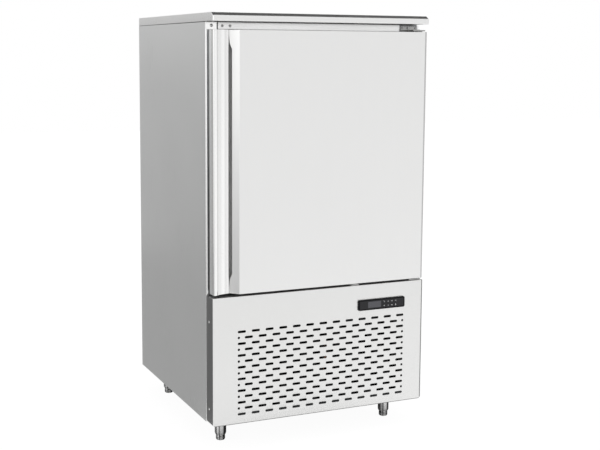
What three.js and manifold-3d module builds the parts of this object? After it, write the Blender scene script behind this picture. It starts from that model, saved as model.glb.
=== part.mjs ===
// Upright blast chiller for ten trays: a stainless cabinet on four screw feet, with an insulated
// cabin behind one hinged door and a condensing unit behind a slotted lower panel.
// Millimetres, +Z up, front towards -Y. The origin is on the floor below the middle of the cabinet.

import * as THREE from "three";
import { mergeVertices } from "three/addons/utils/BufferGeometryUtils.js";
import Module from "manifold-3d";

const wasm = await Module();
wasm.setup();

// Overall size
const WIDTH = 800;
const DEPTH = 815;
const HEIGHT = 1465;
const FOOT_HEIGHT = 95; // underside of the cabinet above the floor
const SHEET = 1.2; // stainless sheet
const GAP = 0.3; // between pieces that touch

// Planes that the pieces share
const SIDE = WIDTH / 2;
const FRONT = -DEPTH / 2; // nose of the top cover
const BACK = DEPTH / 2;
const FRAME = FRONT + 70; // face of the front frame, which the door closes on
const DOOR_FRONT = FRAME - 66;
const DOOR_BACK = FRAME - 20;
const PANEL_FRONT = FRAME - 60; // face of the lower panel
const COVER_BASE = HEIGHT - 29;
const REAR_FLANGE = BACK - 2 * SHEET - GAP; // front of the flanges that carry the back panel

// Heights
const PANEL_TOP = 532;
const DOOR_BASE = 541;
const DOOR_TOP = 1410;
const CABIN_BASE = 500; // underside of the insulated cabin
const CAVITY = { half: 335, floor: 560, top: 1385, back: BACK - 60, radius: 14 };

// ---------------------------------------------------------------- shapes

const box = (x0, x1, y0, y1, z0, z1) =>
  new THREE.BoxGeometry(x1 - x0, y1 - y0, z1 - z0).translate(
    (x0 + x1) / 2,
    (y0 + y1) / 2,
    (z0 + z1) / 2,
  );

const outline = (points) =>
  new THREE.Shape(points.map(([a, b]) => new THREE.Vector2(a, b)));

const stretch = (shape, depth, curveSegments = 4) =>
  new THREE.ExtrudeGeometry(shape, { depth, curveSegments, bevelEnabled: false });

// A plan outline (x, y) stood up from z0 to z1.
const prismZ = (shape, z0, z1, segments) => stretch(shape, z1 - z0, segments).translate(0, 0, z0);

// A front outline (x, z) taken back from y0 to y1.
const prismY = (shape, y0, y1, segments) =>
  stretch(shape, y1 - y0, segments).rotateX(Math.PI / 2).translate(0, y1, 0);

// A side outline (y, z) drawn out from x0 to x1.
const prismX = (shape, x0, x1, segments) =>
  stretch(shape, x1 - x0, segments)
    .rotateX(Math.PI / 2)
    .rotateZ(Math.PI / 2)
    .translate(x0, 0, 0);

function roundedRect(x0, x1, z0, z1, r) {
  const shape = new THREE.Shape();
  shape.absarc(x1 - r, z1 - r, r, 0, Math.PI / 2);
  shape.absarc(x0 + r, z1 - r, r, Math.PI / 2, Math.PI);
  shape.absarc(x0 + r, z0 + r, r, Math.PI, 1.5 * Math.PI);
  shape.absarc(x1 - r, z0 + r, r, 1.5 * Math.PI, 2 * Math.PI);
  shape.closePath();
  return shape;
}

function ring(x, z, outer, inner) {
  const shape = new THREE.Shape().absarc(x, z, outer, 0, 2 * Math.PI);
  shape.holes.push(new THREE.Path().absarc(x, z, inner, 0, 2 * Math.PI));
  return shape;
}

// The section of a folded sheet: path is its outer face, and the sheet lies to the left of the path.
function foldedSheet(path, thickness = SHEET) {
  const points = path.map(([a, b]) => new THREE.Vector2(a, b));
  const normals = points.slice(1).map((p, i) => {
    const along = p.clone().sub(points[i]).normalize();
    return new THREE.Vector2(-along.y, along.x);
  });
  const inner = points.map((p, i) => {
    const before = normals[Math.max(i - 1, 0)];
    const after = normals[Math.min(i, normals.length - 1)];
    const mitre = before.clone().add(after).normalize();
    return p.clone().addScaledVector(mitre, thickness / mitre.dot(after));
  });
  return new THREE.Shape([...points, ...inner.reverse()]);
}

// A solid of revolution about Z from [radius, height] pairs.
const lathe = (profile, segments = 16) =>
  new THREE.LatheGeometry(
    profile.map(([r, h]) => new THREE.Vector2(r, h)),
    segments,
  ).rotateX(Math.PI / 2);

// The same, about Y, with the heights running back.
const latheY = (profile, segments) => lathe(profile, segments).rotateX(-Math.PI / 2);

const upright = (radius, z0, z1, segments = 16) =>
  lathe([[0, z0], [radius, z0], [radius, z1], [0, z1]], segments);

const lyingY = (radius, y0, y1, segments = 20) =>
  latheY([[0, y0], [radius, y0], [radius, y1], [0, y1]], segments);

// A round tube through points, with bends rounded by the curve.
function tube(points, radius, steps, sides = 8) {
  const corners = Array.from({ length: sides }, (_, i) => {
    const turn = (2 * Math.PI * i) / sides;
    return [radius * Math.cos(turn), radius * Math.sin(turn)];
  });
  const route = new THREE.CatmullRomCurve3(points.map((p) => new THREE.Vector3(...p)));
  return new THREE.ExtrudeGeometry(outline(corners), { steps, extrudePath: route });
}

// ---------------------------------------------------------------- solids

function solid(shape) {
  if (!shape.isBufferGeometry) return shape;
  const bare = shape.clone();
  bare.deleteAttribute("normal");
  bare.deleteAttribute("uv");
  const merged = mergeVertices(bare, 1e-3);
  return new wasm.Manifold(
    new wasm.Mesh({
      numProp: 3,
      vertProperties: merged.attributes.position.array,
      triVerts: new Uint32Array(merged.index.array),
    }),
  );
}

const join = (...pieces) => pieces.map(solid).reduce((whole, piece) => whole.add(piece));
const cut = (body, ...tools) =>
  tools.map(solid).reduce((left, tool) => left.subtract(tool), solid(body));

function surfaceOf(shape) {
  if (shape.isBufferGeometry) return shape;
  const mesh = shape.getMesh();
  const surface = new THREE.BufferGeometry();
  surface.setAttribute("position", new THREE.BufferAttribute(mesh.vertProperties, 3));
  surface.setIndex(new THREE.BufferAttribute(mesh.triVerts, 1));
  return surface;
}

// ---------------------------------------------------------------- materials

const finish = (color, roughness, metalness) =>
  new THREE.MeshStandardMaterial({ color, roughness, metalness });

const STAINLESS = finish(0xd2d3d1, 0.35, 1);
const BRIGHT_STEEL = finish(0xdedfdf, 0.18, 1);
const LINER_STEEL = finish(0xc4c6c6, 0.3, 1);
const BLACK_PLASTIC = finish(0x1c1c1e, 0.4, 0);
const SMOKED_LENS = finish(0x3a3b44, 0.15, 0);
const KEY_RUBBER = finish(0x26262a, 0.6, 0);
const GREY_PLASTIC = finish(0xbfc1c0, 0.5, 0);
const GASKET_RUBBER = finish(0x4a4b4d, 0.8, 0);
const FOAM = finish(0xe3d6a6, 0.9, 0);
const ALUMINIUM = finish(0xb9bcbe, 0.45, 1);
const COPPER = finish(0xb87446, 0.35, 1);
const BLACK_PAINT = finish(0x202224, 0.5, 0.2);
const GALVANISED = finish(0x9ea3a5, 0.5, 1);

const chiller = new THREE.Group();

function place(group, name, shape, material, position = [0, 0, 0]) {
  const mesh = new THREE.Mesh(surfaceOf(shape), material);
  mesh.name = name;
  mesh.position.set(...position);
  group.add(mesh);
  return mesh;
}

// ---------------------------------------------------------------- cabinet shell

const SIDE_LIP = 8; // front edge of the side panel, beside the door
const LIP_RETURN = 12;
const FLANGE = 20;

// Tray of sheet with a bevelled nose at the front, closed ends and a short lip under the nose.
function topCover() {
  const nose = { face: 19.5, bevel: 17, lip: 20 };
  const section = (inset) =>
    outline([
      [FRONT + inset, COVER_BASE + inset],
      [BACK - inset, COVER_BASE + inset],
      [BACK - inset, HEIGHT - inset],
      [FRONT + nose.bevel + inset / 2, HEIGHT - inset],
      [FRONT + inset, COVER_BASE + nose.face - inset / 2],
    ]);
  const half = SIDE - SHEET;
  return cut(
    prismX(section(0), -SIDE, SIDE),
    prismX(section(SHEET), -half, half),
    box(-half, half, FRONT + nose.lip, BACK - SHEET, COVER_BASE - 1, COVER_BASE + 2 * SHEET),
  );
}

// side is 1 for the right panel and -1 for the left one.
function sidePanel(side) {
  const outer = side * SIDE;
  const lip = side * (SIDE - SIDE_LIP);
  const inner = side * (SIDE - SHEET);
  const lipInner = side * (SIDE - SIDE_LIP + SHEET);
  const flange = side * (SIDE - FLANGE);
  const section = outline([
    [outer, FRAME],
    [lip, FRAME],
    [lip, FRAME + LIP_RETURN],
    [lipInner, FRAME + LIP_RETURN],
    [lipInner, FRAME + SHEET],
    [inner, FRAME + SHEET],
    [inner, REAR_FLANGE],
    [flange, REAR_FLANGE],
    [flange, REAR_FLANGE + SHEET],
    [inner, REAR_FLANGE + SHEET],
    [inner, BACK],
    [outer, BACK],
  ]);
  return prismZ(section, FOOT_HEIGHT, COVER_BASE - GAP);
}

// Plain sheet with rows of vents behind the condensing unit.
function backPanel() {
  const half = SIDE - SHEET - GAP;
  const vent = { length: 150, height: 9, pitchX: 210, pitchZ: 45, columns: 3, rows: 5, base: 190 };
  const vents = [];
  for (let row = 0; row < vent.rows; row++) {
    for (let column = 0; column < vent.columns; column++) {
      const x = (column - (vent.columns - 1) / 2) * vent.pitchX - vent.length / 2;
      const z = vent.base + row * vent.pitchZ;
      vents.push(box(x, x + vent.length, BACK - 5, BACK + 1, z, z + vent.height));
    }
  }
  return cut(box(-half, half, BACK - SHEET, BACK, FOOT_HEIGHT, COVER_BASE - GAP), ...vents);
}

const PAN_WALL = 25;
const GLAND = { x: 260, y: 350, radius: 11 };

function basePan() {
  const half = SIDE - SHEET - GAP;
  const front = FRAME + LIP_RETURN + 2 * GAP;
  const back = REAR_FLANGE - GAP;
  return cut(
    box(-half, half, front, back, FOOT_HEIGHT, FOOT_HEIGHT + PAN_WALL),
    box(
      -half + SHEET,
      half - SHEET,
      front + SHEET,
      back - SHEET,
      FOOT_HEIGHT + SHEET,
      FOOT_HEIGHT + PAN_WALL + 1,
    ),
    upright(GLAND.radius, FOOT_HEIGHT - 1, FOOT_HEIGHT + 5).translate(GLAND.x, GLAND.y, 0),
  );
}

place(chiller, "top_cover", topCover(), STAINLESS);
place(chiller, "left_side_panel", sidePanel(-1), STAINLESS);
place(chiller, "right_side_panel", sidePanel(1), STAINLESS);
place(chiller, "back_panel", backPanel(), GALVANISED);
place(chiller, "base_pan", basePan(), GALVANISED);

// ---------------------------------------------------------------- insulated cabin

const FRAME_DEPTH = 10;
const SERVICE_HOLE = { x: 284, y: 298, radius: 26 }; // pipes pass the cabin's floor here

const cavityOutline = (grow) =>
  roundedRect(
    -CAVITY.half - grow,
    CAVITY.half + grow,
    CAVITY.floor - grow,
    CAVITY.top + grow,
    CAVITY.radius + grow,
  );

const servicePassage = () =>
  upright(SERVICE_HOLE.radius, CABIN_BASE - 10, CAVITY.floor + 10, 12)
    .translate(SERVICE_HOLE.x, SERVICE_HOLE.y, 0);

// Plastic thermal break round the door opening.
function frontFrame() {
  const half = SIDE - SIDE_LIP - GAP;
  const face = outline([
    [-half, CABIN_BASE],
    [half, CABIN_BASE],
    [half, COVER_BASE - GAP],
    [-half, COVER_BASE - GAP],
  ]);
  face.holes.push(cavityOutline(0));
  return prismY(face, FRAME, FRAME + FRAME_DEPTH, 2);
}

// Foamed shell between the outer panels and the liner, open at the front.
function insulation() {
  const half = SIDE - SHEET - GAP;
  const front = FRAME + LIP_RETURN + GAP;
  return cut(
    box(-half, half, front, REAR_FLANGE - GAP, CABIN_BASE, COVER_BASE - GAP),
    prismY(cavityOutline(SHEET + GAP), front - 1, CAVITY.back + SHEET + GAP, 2),
    servicePassage(),
  );
}

function cabinLiner() {
  const front = FRAME + FRAME_DEPTH + GAP;
  return cut(
    prismY(cavityOutline(SHEET), front, CAVITY.back + SHEET, 2),
    prismY(cavityOutline(0), front - 1, CAVITY.back, 2),
    servicePassage(),
  );
}

place(chiller, "front_frame", frontFrame(), GREY_PLASTIC);
place(chiller, "insulation", insulation(), FOAM);
place(chiller, "cabin_liner", cabinLiner(), LINER_STEEL);

// ---------------------------------------------------------------- trim above the door

// Channel-shaped strip screwed along the head of the frame.
function headerTrim() {
  const strip = { left: -360, right: 317, base: 1411, top: 1432, depth: 8 };
  const section = foldedSheet([
    [FRAME - GAP, strip.base],
    [FRAME - strip.depth, strip.base],
    [FRAME - strip.depth, strip.top],
    [FRAME - GAP, strip.top],
  ].reverse());
  return prismX(section, strip.left, strip.right);
}

const cornerPlate = () =>
  box(-SIDE + GAP, -361, FRAME - GAP - 1.5, FRAME - GAP, 1414, COVER_BASE - GAP);

place(chiller, "header_trim", headerTrim(), STAINLESS);
place(chiller, "corner_plate", cornerPlate(), BRIGHT_STEEL);

// ---------------------------------------------------------------- hinges

const HINGE = { x: 375, y: FRAME - 40, pin: 5, hole: 9.6 };

// A plate screwed to the frame, an arm over the end of the door and a pin riveted into the arm.
function hingeBracket(plateBase, plateTop, armBase, armThickness, pinFrom, pinTo) {
  const left = 318;
  const right = 392;
  const plate = FRAME - GAP;
  return join(
    box(left, right, plate - 3, plate, plateBase, plateTop),
    box(left + 27, right, HINGE.y - 18, plate - 1, armBase, armBase + armThickness),
    upright(HINGE.pin, pinFrom, pinTo, 12).translate(HINGE.x, HINGE.y, 0),
  );
}

// Plastic sleeve with a flange that rests against the end of the door.
const bush = (base, top, flangeBase) =>
  cut(
    join(upright(9, base, top, 12), upright(13, flangeBase, flangeBase + 2, 12)),
    upright(HINGE.pin + 0.6, base - 1, top + 1, 12),
  );

place(chiller, "upper_hinge", hingeBracket(1413, 1434, 1417, 5, 1390, 1419), BRIGHT_STEEL);
place(chiller, "lower_hinge", hingeBracket(506, 538, 534, 4, 536, 561), BRIGHT_STEEL);

// ---------------------------------------------------------------- door

const DOOR_SIDE = 395;
const RIM_FRONT = FRAME - 36; // the inner panel's rim starts here, the outer skin ends just before it
const HANDLE_EDGE = -307; // the flat front ends here
const VALLEY = [-333, FRAME - 38.3]; // bottom of the fold beside the finger slot
const SLOT = { width: 7.6, sliver: 1.8, base: 608, top: 1347, chamfer: 19, taper: 28 };
const RAISED = { half: 318, base: 575, top: 1370, depth: 12, radius: 25 };

const door = new THREE.Group();
chiller.add(door);

const bushHoles = () =>
  join(
    upright(HINGE.hole, DOOR_BASE - 1, DOOR_BASE + 26, 12),
    upright(HINGE.hole, DOOR_TOP - 26, DOOR_TOP + 1, 12),
  ).translate(HINGE.x, HINGE.y, 0);

// Front sheet: folded back at the right, top and bottom, and slanted back into the valley at the left.
function doorSkin() {
  const back = RIM_FRONT - GAP;
  const path = [
    VALLEY,
    [HANDLE_EDGE, DOOR_FRONT],
    [DOOR_SIDE - 3, DOOR_FRONT],
    [DOOR_SIDE, DOOR_FRONT + 3],
    [DOOR_SIDE, back],
  ];
  const lid = outline([...path, [VALLEY[0] + 2, back]]);
  return cut(
    join(
      prismZ(foldedSheet(path), DOOR_BASE, DOOR_TOP),
      prismZ(lid, DOOR_BASE, DOOR_BASE + SHEET),
      prismZ(lid, DOOR_TOP - SHEET, DOOR_TOP),
    ),
    prismY(fingerSlot(), DOOR_FRONT - 5, VALLEY[1] + 8),
    bushHoles(),
  );
}

// Front outline of the slot: it opens from the valley, and its ends run out in a chamfer and a sliver.
function fingerSlot() {
  const x = VALLEY[0];
  const edge = [
    [x, -SLOT.chamfer - SLOT.taper],
    [x + SLOT.sliver, -SLOT.chamfer],
    [x + SLOT.width, 0],
  ];
  return outline([
    [x - 4, SLOT.base - SLOT.chamfer - SLOT.taper],
    ...edge.map(([a, h]) => [a, SLOT.base + h]),
    ...edge.map(([a, h]) => [a, SLOT.top - h]).reverse(),
    [x - 4, SLOT.top + SLOT.chamfer + SLOT.taper],
  ]);
}

// Bar beside the slot: a beaded lip, a hollow face, a step, the rounded corner and the door's side.
function handleProfile() {
  const back = RIM_FRONT - GAP;
  const face = [
    [-DOOR_SIDE, back],
    [-DOOR_SIDE, FRAME - 52],
    [-DOOR_SIDE + 1.2, FRAME - 56],
    [-DOOR_SIDE + 4.5, FRAME - 58.2],
    [-381.5, FRAME - 55.6],
    [-380, FRAME - 53],
    [-375.7, FRAME - 50.8],
    [-361, FRAME - 45.6],
    [-348, FRAME - 42],
    [-341, FRAME - 41],
    [-337, FRAME - 40.6],
    [-333.6, FRAME - 38.4],
    [-333.4, back],
  ];
  const lid = outline(face);
  return join(
    prismZ(foldedSheet(face), DOOR_BASE, DOOR_TOP),
    prismZ(lid, DOOR_BASE, DOOR_BASE + SHEET),
    prismZ(lid, DOOR_TOP - SHEET, DOOR_TOP),
  );
}

// Lines the hollow behind the slot and keeps the foam out of it.
function handleChannel() {
  const right = -308.5;
  const rear = DOOR_BACK - SHEET - GAP;
  const section = foldedSheet([
    [right, FRAME - 61],
    [right, rear],
    [-DOOR_SIDE + SHEET + 2 * GAP, rear],
  ]);
  return prismZ(section, DOOR_BASE + SHEET + GAP, DOOR_TOP - SHEET - GAP);
}

function doorFoam() {
  const left = -308.5 + GAP;
  const side = DOOR_SIDE - SHEET - GAP;
  const front = DOOR_FRONT + SHEET + GAP;
  const rear = DOOR_BACK - SHEET - GAP;
  const inset = SHEET + GAP;
  const plan = outline([
    [left, rear],
    [left, FRAME - 62],
    [left + 2.5, front],
    [side - 3, front],
    [side, front + 3],
    [side, rear],
  ]);
  return cut(
    join(
      prismZ(plan, DOOR_BASE + inset, DOOR_TOP - inset),
      box(
        -RAISED.half + 11,
        RAISED.half - 11,
        rear - 1,
        FRAME + RAISED.depth - inset,
        RAISED.base + 11,
        RAISED.top - 11,
      ),
    ),
    bushHoles(),
  );
}

// Pan with a rim at the door's edge and a raised middle that stands into the cabin's mouth.
function doorInnerPanel() {
  const raised = (inset) =>
    roundedRect(
      -RAISED.half + inset,
      RAISED.half - inset,
      RAISED.base + inset,
      RAISED.top - inset,
      RAISED.radius - inset,
    );
  const middle = FRAME + RAISED.depth;
  return cut(
    join(
      box(-DOOR_SIDE, DOOR_SIDE, RIM_FRONT, DOOR_BACK, DOOR_BASE, DOOR_TOP),
      prismY(raised(0), DOOR_BACK - 1, middle, 2),
    ),
    box(
      -DOOR_SIDE + SHEET,
      DOOR_SIDE - SHEET,
      RIM_FRONT - 1,
      DOOR_BACK - SHEET,
      DOOR_BASE + SHEET,
      DOOR_TOP - SHEET,
    ),
    prismY(raised(SHEET), DOOR_BACK - 2 * SHEET, middle - SHEET, 2),
    bushHoles(),
  );
}

// Magnetic gasket in three steps: the foot held by the inner panel, the bellows and the magnet strip.
function doorGasket() {
  const middle = { x: 372, base: 560, top: 1391 };
  const loop = (width, y0, y1) => {
    const half = width / 2;
    const frame = (grow) =>
      outline([
        [-middle.x - grow, middle.base - grow],
        [middle.x + grow, middle.base - grow],
        [middle.x + grow, middle.top + grow],
        [-middle.x - grow, middle.top + grow],
      ]);
    const shape = frame(half);
    shape.holes.push(frame(-half));
    return prismY(shape, y0, y1);
  };
  return join(
    loop(28, DOOR_BACK + GAP, DOOR_BACK + 5),
    loop(15, DOOR_BACK + 4.5, FRAME - 7.5),
    loop(24, FRAME - 8, FRAME - 1.5),
  );
}

place(door, "door_skin", doorSkin(), STAINLESS);
place(door, "handle_profile", handleProfile(), BRIGHT_STEEL);
place(door, "handle_channel", handleChannel(), LINER_STEEL);
place(door, "door_foam", doorFoam(), FOAM);
place(door, "door_inner_panel", doorInnerPanel(), LINER_STEEL);
place(door, "door_gasket", doorGasket(), GASKET_RUBBER);
const bushSpot = [HINGE.x, HINGE.y, 0];
const upperBush = bush(DOOR_TOP - 23, DOOR_TOP + GAP + 2, DOOR_TOP + GAP);
const lowerBush = bush(DOOR_BASE - GAP - 2, DOOR_BASE + 23, DOOR_BASE - GAP - 2);
place(door, "hinge_bush_upper", upperBush, GREY_PLASTIC, bushSpot);
place(door, "hinge_bush_lower", lowerBush, GREY_PLASTIC, bushSpot);

// ---------------------------------------------------------------- lower panel

const SLOTS = { rows: 15, pitchZ: 20.25, top: 411.5, pitchX: 50.45, perRow: 13, middle: 6.5 };
const SLOT_LENGTH = 29.5;
const SLOT_HEIGHT = 8;
const CONTROLLER = { x: 233, z: 460.5, width: 185, height: 38, windowX: 150, windowZ: 30 };

// A six-cornered hole: flat top and bottom, with blunt points for its round ends.
function slotHole(x, z, length) {
  const half = length / 2;
  const shoulder = half - 0.28 * SLOT_HEIGHT;
  const rise = SLOT_HEIGHT / 2;
  return outline([
    [x - half, z],
    [x - shoulder, z - rise],
    [x + shoulder, z - rise],
    [x + half, z],
    [x + shoulder, z + rise],
    [x - shoulder, z + rise],
  ]);
}

// Odd rows hold thirteen slots. Even rows are shifted by half a pitch, with a round hole at each end.
function ventHoles() {
  const holes = [];
  for (let row = 0; row < SLOTS.rows; row++) {
    const z = SLOTS.top - row * SLOTS.pitchZ;
    const shifted = row % 2;
    const count = SLOTS.perRow - shifted;
    const first = SLOTS.middle - ((count - 1) / 2) * SLOTS.pitchX;
    for (let i = 0; i < count; i++) holes.push(slotHole(first + i * SLOTS.pitchX, z, SLOT_LENGTH));
    if (!shifted) continue;
    const end = ((SLOTS.perRow - 1) / 2) * SLOTS.pitchX + SLOT_LENGTH / 2 - SLOT_HEIGHT / 2;
    for (const side of [-1, 1]) holes.push(slotHole(SLOTS.middle + side * end, z, SLOT_HEIGHT));
  }
  return holes;
}

// Front sheet with folded sides, top and bottom. Its two lower corners are rounded.
function lowerPanel() {
  const face = (inset, radius) => {
    const half = SIDE - inset;
    const base = FOOT_HEIGHT + inset;
    const shape = new THREE.Shape();
    shape.moveTo(half, base + radius);
    shape.lineTo(half, PANEL_TOP - inset);
    shape.lineTo(-half, PANEL_TOP - inset);
    shape.lineTo(-half, base + radius);
    shape.absarc(-half + radius, base + radius, radius, Math.PI, 1.5 * Math.PI);
    shape.absarc(half - radius, base + radius, radius, 1.5 * Math.PI, 2 * Math.PI);
    return shape;
  };
  const front = face(0, 9);
  front.holes.push(...ventHoles());
  const shell = cut(
    prismY(face(0, 9), PANEL_FRONT, FRAME - GAP),
    prismY(face(SHEET, 9 - SHEET), PANEL_FRONT - 1, FRAME),
    box(-SIDE + 6, SIDE - 6, FRAME - 20, FRAME, PANEL_TOP - 5, PANEL_TOP + 5),
  );
  const { x, z, windowX, windowZ } = CONTROLLER;
  const play = 1;
  return cut(
    join(prismY(front, PANEL_FRONT, PANEL_FRONT + SHEET), shell),
    box(
      x - windowX / 2 - play,
      x + windowX / 2 + play,
      PANEL_FRONT - 1,
      PANEL_FRONT + 5,
      z - windowZ / 2 - play,
      z + windowZ / 2 + play,
    ),
  );
}

const doorSwitch = () =>
  join(
    box(118, 148, FRAME - 52, FRAME - 28, PANEL_TOP + GAP, PANEL_TOP + 3),
    box(123, 143, FRAME - 48, FRAME - 32, PANEL_TOP + 2, PANEL_TOP + 5.5),
  );

place(chiller, "lower_panel", lowerPanel(), STAINLESS);
place(chiller, "door_switch", doorSwitch(), GREY_PLASTIC);

// ---------------------------------------------------------------- controller

const BEZEL = 6; // stands this far in front of the panel
const LENS = { x: -29.5, z: 0, width: 52, height: 22, depth: 1.2 };
const KEY = {
  width: 10,
  height: 8,
  thickness: 4,
  proud: 0.6,
  play: 0.4,
  first: 9,
  pitchX: 15.3,
  pitchZ: 14.6,
  travel: 0.8,
};
const KEY_NAMES = [
  ["key_start", "key_light", "key_up", "key_defrost"],
  ["key_set", "key_probe", "key_down", "key_print"],
];

const keyX = (column) => CONTROLLER.x + KEY.first + column * KEY.pitchX;
const keyZ = (row) => CONTROLLER.z + (0.5 - row) * KEY.pitchZ;

// A key, or its pocket when grow is the play round it, from y0 to y1.
const keyBlock = (grow, y0, y1) =>
  box(
    -KEY.width / 2 - grow,
    KEY.width / 2 + grow,
    y0,
    y1,
    -KEY.height / 2 - grow,
    KEY.height / 2 + grow,
  );

function controllerHousing() {
  const { x, z, width, height, windowX, windowZ } = CONTROLLER;
  const face = PANEL_FRONT - BEZEL;
  const pockets = [];
  for (let row = 0; row < 2; row++) {
    for (let column = 0; column < 4; column++) {
      const depth = KEY.thickness - KEY.proud + KEY.travel + GAP;
      const pocket = keyBlock(KEY.play, face - 1, face + depth);
      pockets.push(pocket.translate(keyX(column), 0, keyZ(row)));
    }
  }
  return cut(
    join(
      prismY(
        roundedRect(x - width / 2, x + width / 2, z - height / 2, z + height / 2, 5),
        face,
        PANEL_FRONT - GAP,
      ),
      box(
        x - windowX / 2,
        x + windowX / 2,
        PANEL_FRONT - 1,
        PANEL_FRONT + 52,
        z - windowZ / 2,
        z + windowZ / 2,
      ),
    ),
    box(
      x + LENS.x - LENS.width / 2 - GAP,
      x + LENS.x + LENS.width / 2 + GAP,
      face - 1,
      face + LENS.depth + GAP,
      z + LENS.z - LENS.height / 2 - GAP,
      z + LENS.z + LENS.height / 2 + GAP,
    ),
    ...pockets,
  );
}

const displayWindow = () =>
  box(
    CONTROLLER.x + LENS.x - LENS.width / 2,
    CONTROLLER.x + LENS.x + LENS.width / 2,
    PANEL_FRONT - BEZEL,
    PANEL_FRONT - BEZEL + LENS.depth,
    CONTROLLER.z + LENS.z - LENS.height / 2,
    CONTROLLER.z + LENS.z + LENS.height / 2,
  );

place(chiller, "controller_housing", controllerHousing(), BLACK_PLASTIC);
place(chiller, "display_window", displayWindow(), SMOKED_LENS);
KEY_NAMES.forEach((names, row) =>
  names.forEach((name, column) => {
    const key = keyBlock(0, -KEY.proud, KEY.thickness - KEY.proud);
    place(chiller, name, key, KEY_RUBBER, [keyX(column), PANEL_FRONT - BEZEL, keyZ(row)]);
  }),
);

// ---------------------------------------------------------------- feet

const FOOT = { x: 323, front: FRAME + 72, rear: BACK - 100, sleeve: 20, stem: 16, shown: 20 };

// Fixed sleeve under the pan: a fastening flange, a straight tube and a tapered mouth.
const footSleeve = () =>
  lathe([
    [0, FOOT_HEIGHT - GAP],
    [0, 72],
    [FOOT.stem + 0.7, 72],
    [FOOT.stem + 0.7, FOOT.shown],
    [FOOT.sleeve - 2.5, FOOT.shown],
    [FOOT.sleeve, FOOT.shown + 5],
    [FOOT.sleeve, FOOT_HEIGHT - 4],
    [26, FOOT_HEIGHT - 4],
    [26, FOOT_HEIGHT - GAP],
    [0, FOOT_HEIGHT - GAP],
  ], 12);

// Adjustable stem with a rounded sole, which turns down out of the sleeve.
const footStem = () =>
  lathe([[0, 0], [FOOT.stem - 4, 0], [FOOT.stem - 1, 1.5], [FOOT.stem, 5], [FOOT.stem, 70], [0, 70]], 12);

for (const [end, y] of [["front", FOOT.front], ["rear", FOOT.rear]]) {
  for (const [side, x] of [["left", -FOOT.x], ["right", FOOT.x]]) {
    place(chiller, `foot_sleeve_${end}_${side}`, footSleeve(), BRIGHT_STEEL, [x, y, 0]);
    place(chiller, `foot_stem_${end}_${side}`, footStem(), BRIGHT_STEEL, [x, y, 0]);
  }
}

// ---------------------------------------------------------------- tray racks

const RACK = {
  levels: 10,
  first: 606,
  pitch: 74,
  front: -305,
  rear: 128,
  ledge: 283,
  back: CAVITY.half - GAP,
  base: 576,
  top: 1350,
};

// Two flat posts with ten angle runners. side is 1 for the right rack and -1 for the left one.
function rack(side) {
  const across = (a, b) => [Math.min(side * a, side * b), Math.max(side * a, side * b)];
  const posts = [RACK.front + 30, RACK.rear - 55].map((y) =>
    box(...across(RACK.back - 3, RACK.back), y, y + 25, RACK.base, RACK.top),
  );
  const runners = Array.from({ length: RACK.levels }, (_, level) => {
    const z = RACK.first + level * RACK.pitch;
    const wall = RACK.back - 2.5;
    const section = foldedSheet(
      [[wall - SHEET, 14], [wall - SHEET, 0], [RACK.ledge, 0]].map(([a, h]) => [side * a, z + h]),
      side * SHEET,
    );
    return prismY(section, RACK.front, RACK.rear);
  });
  return join(...posts, ...runners);
}

place(chiller, "rack_left", rack(-1), BRIGHT_STEEL);
place(chiller, "rack_right", rack(1), BRIGHT_STEEL);

// ---------------------------------------------------------------- fans and guards

// Pitched blades on a hub. The axle runs along Y, and the middle of the hub is the origin.
function fan(radius, hub, depth, blades) {
  const chord = radius / 3;
  const pitch = THREE.MathUtils.degToRad(28);
  const paddle = outline([
    [hub - 3, -0.35 * chord],
    [0.55 * radius, -0.85 * chord],
    [0.88 * radius, -chord],
    [radius, -0.7 * chord],
    [radius, 0.65 * chord],
    [0.88 * radius, 0.9 * chord],
    [0.55 * radius, 0.7 * chord],
    [hub - 3, 0.35 * chord],
  ]);
  const blade = stretch(paddle, 1.6).translate(0, 0, -0.8).rotateX(Math.PI / 2 - pitch);
  const wheel = Array.from({ length: blades }, (_, i) =>
    blade.clone().rotateY((2 * Math.PI * i) / blades),
  );
  return join(lyingY(hub, -depth, depth, 10), ...wheel);
}

// Wire guard round (x, z): rings and four spokes, in a layer from y0 to y1.
function guard(x, z, radii, reach, y0, y1) {
  const wire = 1.6;
  const spokes = [0, 1].map((i) =>
    box(-reach, reach, y0, y1, -wire, wire)
      .rotateY(Math.PI / 4 + (i * Math.PI) / 2)
      .translate(x, 0, z),
  );
  const rings = radii.map((r) => prismY(ring(x, z, r + wire, r - wire), y0, y1, 6));
  return join(...spokes, ...rings);
}

// Motor with a shaft towards the fan, on a strap whose two legs reach the sheet in front of it.
function fanMotor(radius, length, shaft, strap, leg) {
  const body = latheY([
    [0, -shaft],
    [4, -shaft],
    [4, 0],
    [radius - 6, 0],
    [radius, 6],
    [radius, length - 4],
    [radius - 5, length],
    [0, length],
  ], 12);
  const legs = [-1, 1].map((side) => {
    const x = side * strap;
    return box(Math.min(x, x - side * 2), Math.max(x, x - side * 2), -leg, 6, -11, 11);
  });
  return join(body, box(-strap, strap, 3, 6, -11, 11), ...legs);
}

// ---------------------------------------------------------------- evaporator

const AIR_PANEL = { y: 168, half: CAVITY.half - GAP, base: 590, top: 1362, wrap: 24 };
const EVAPORATOR_FAN = { heights: [785, 1165], radius: 118, opening: 126, middle: AIR_PANEL.y + 24 };

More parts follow.
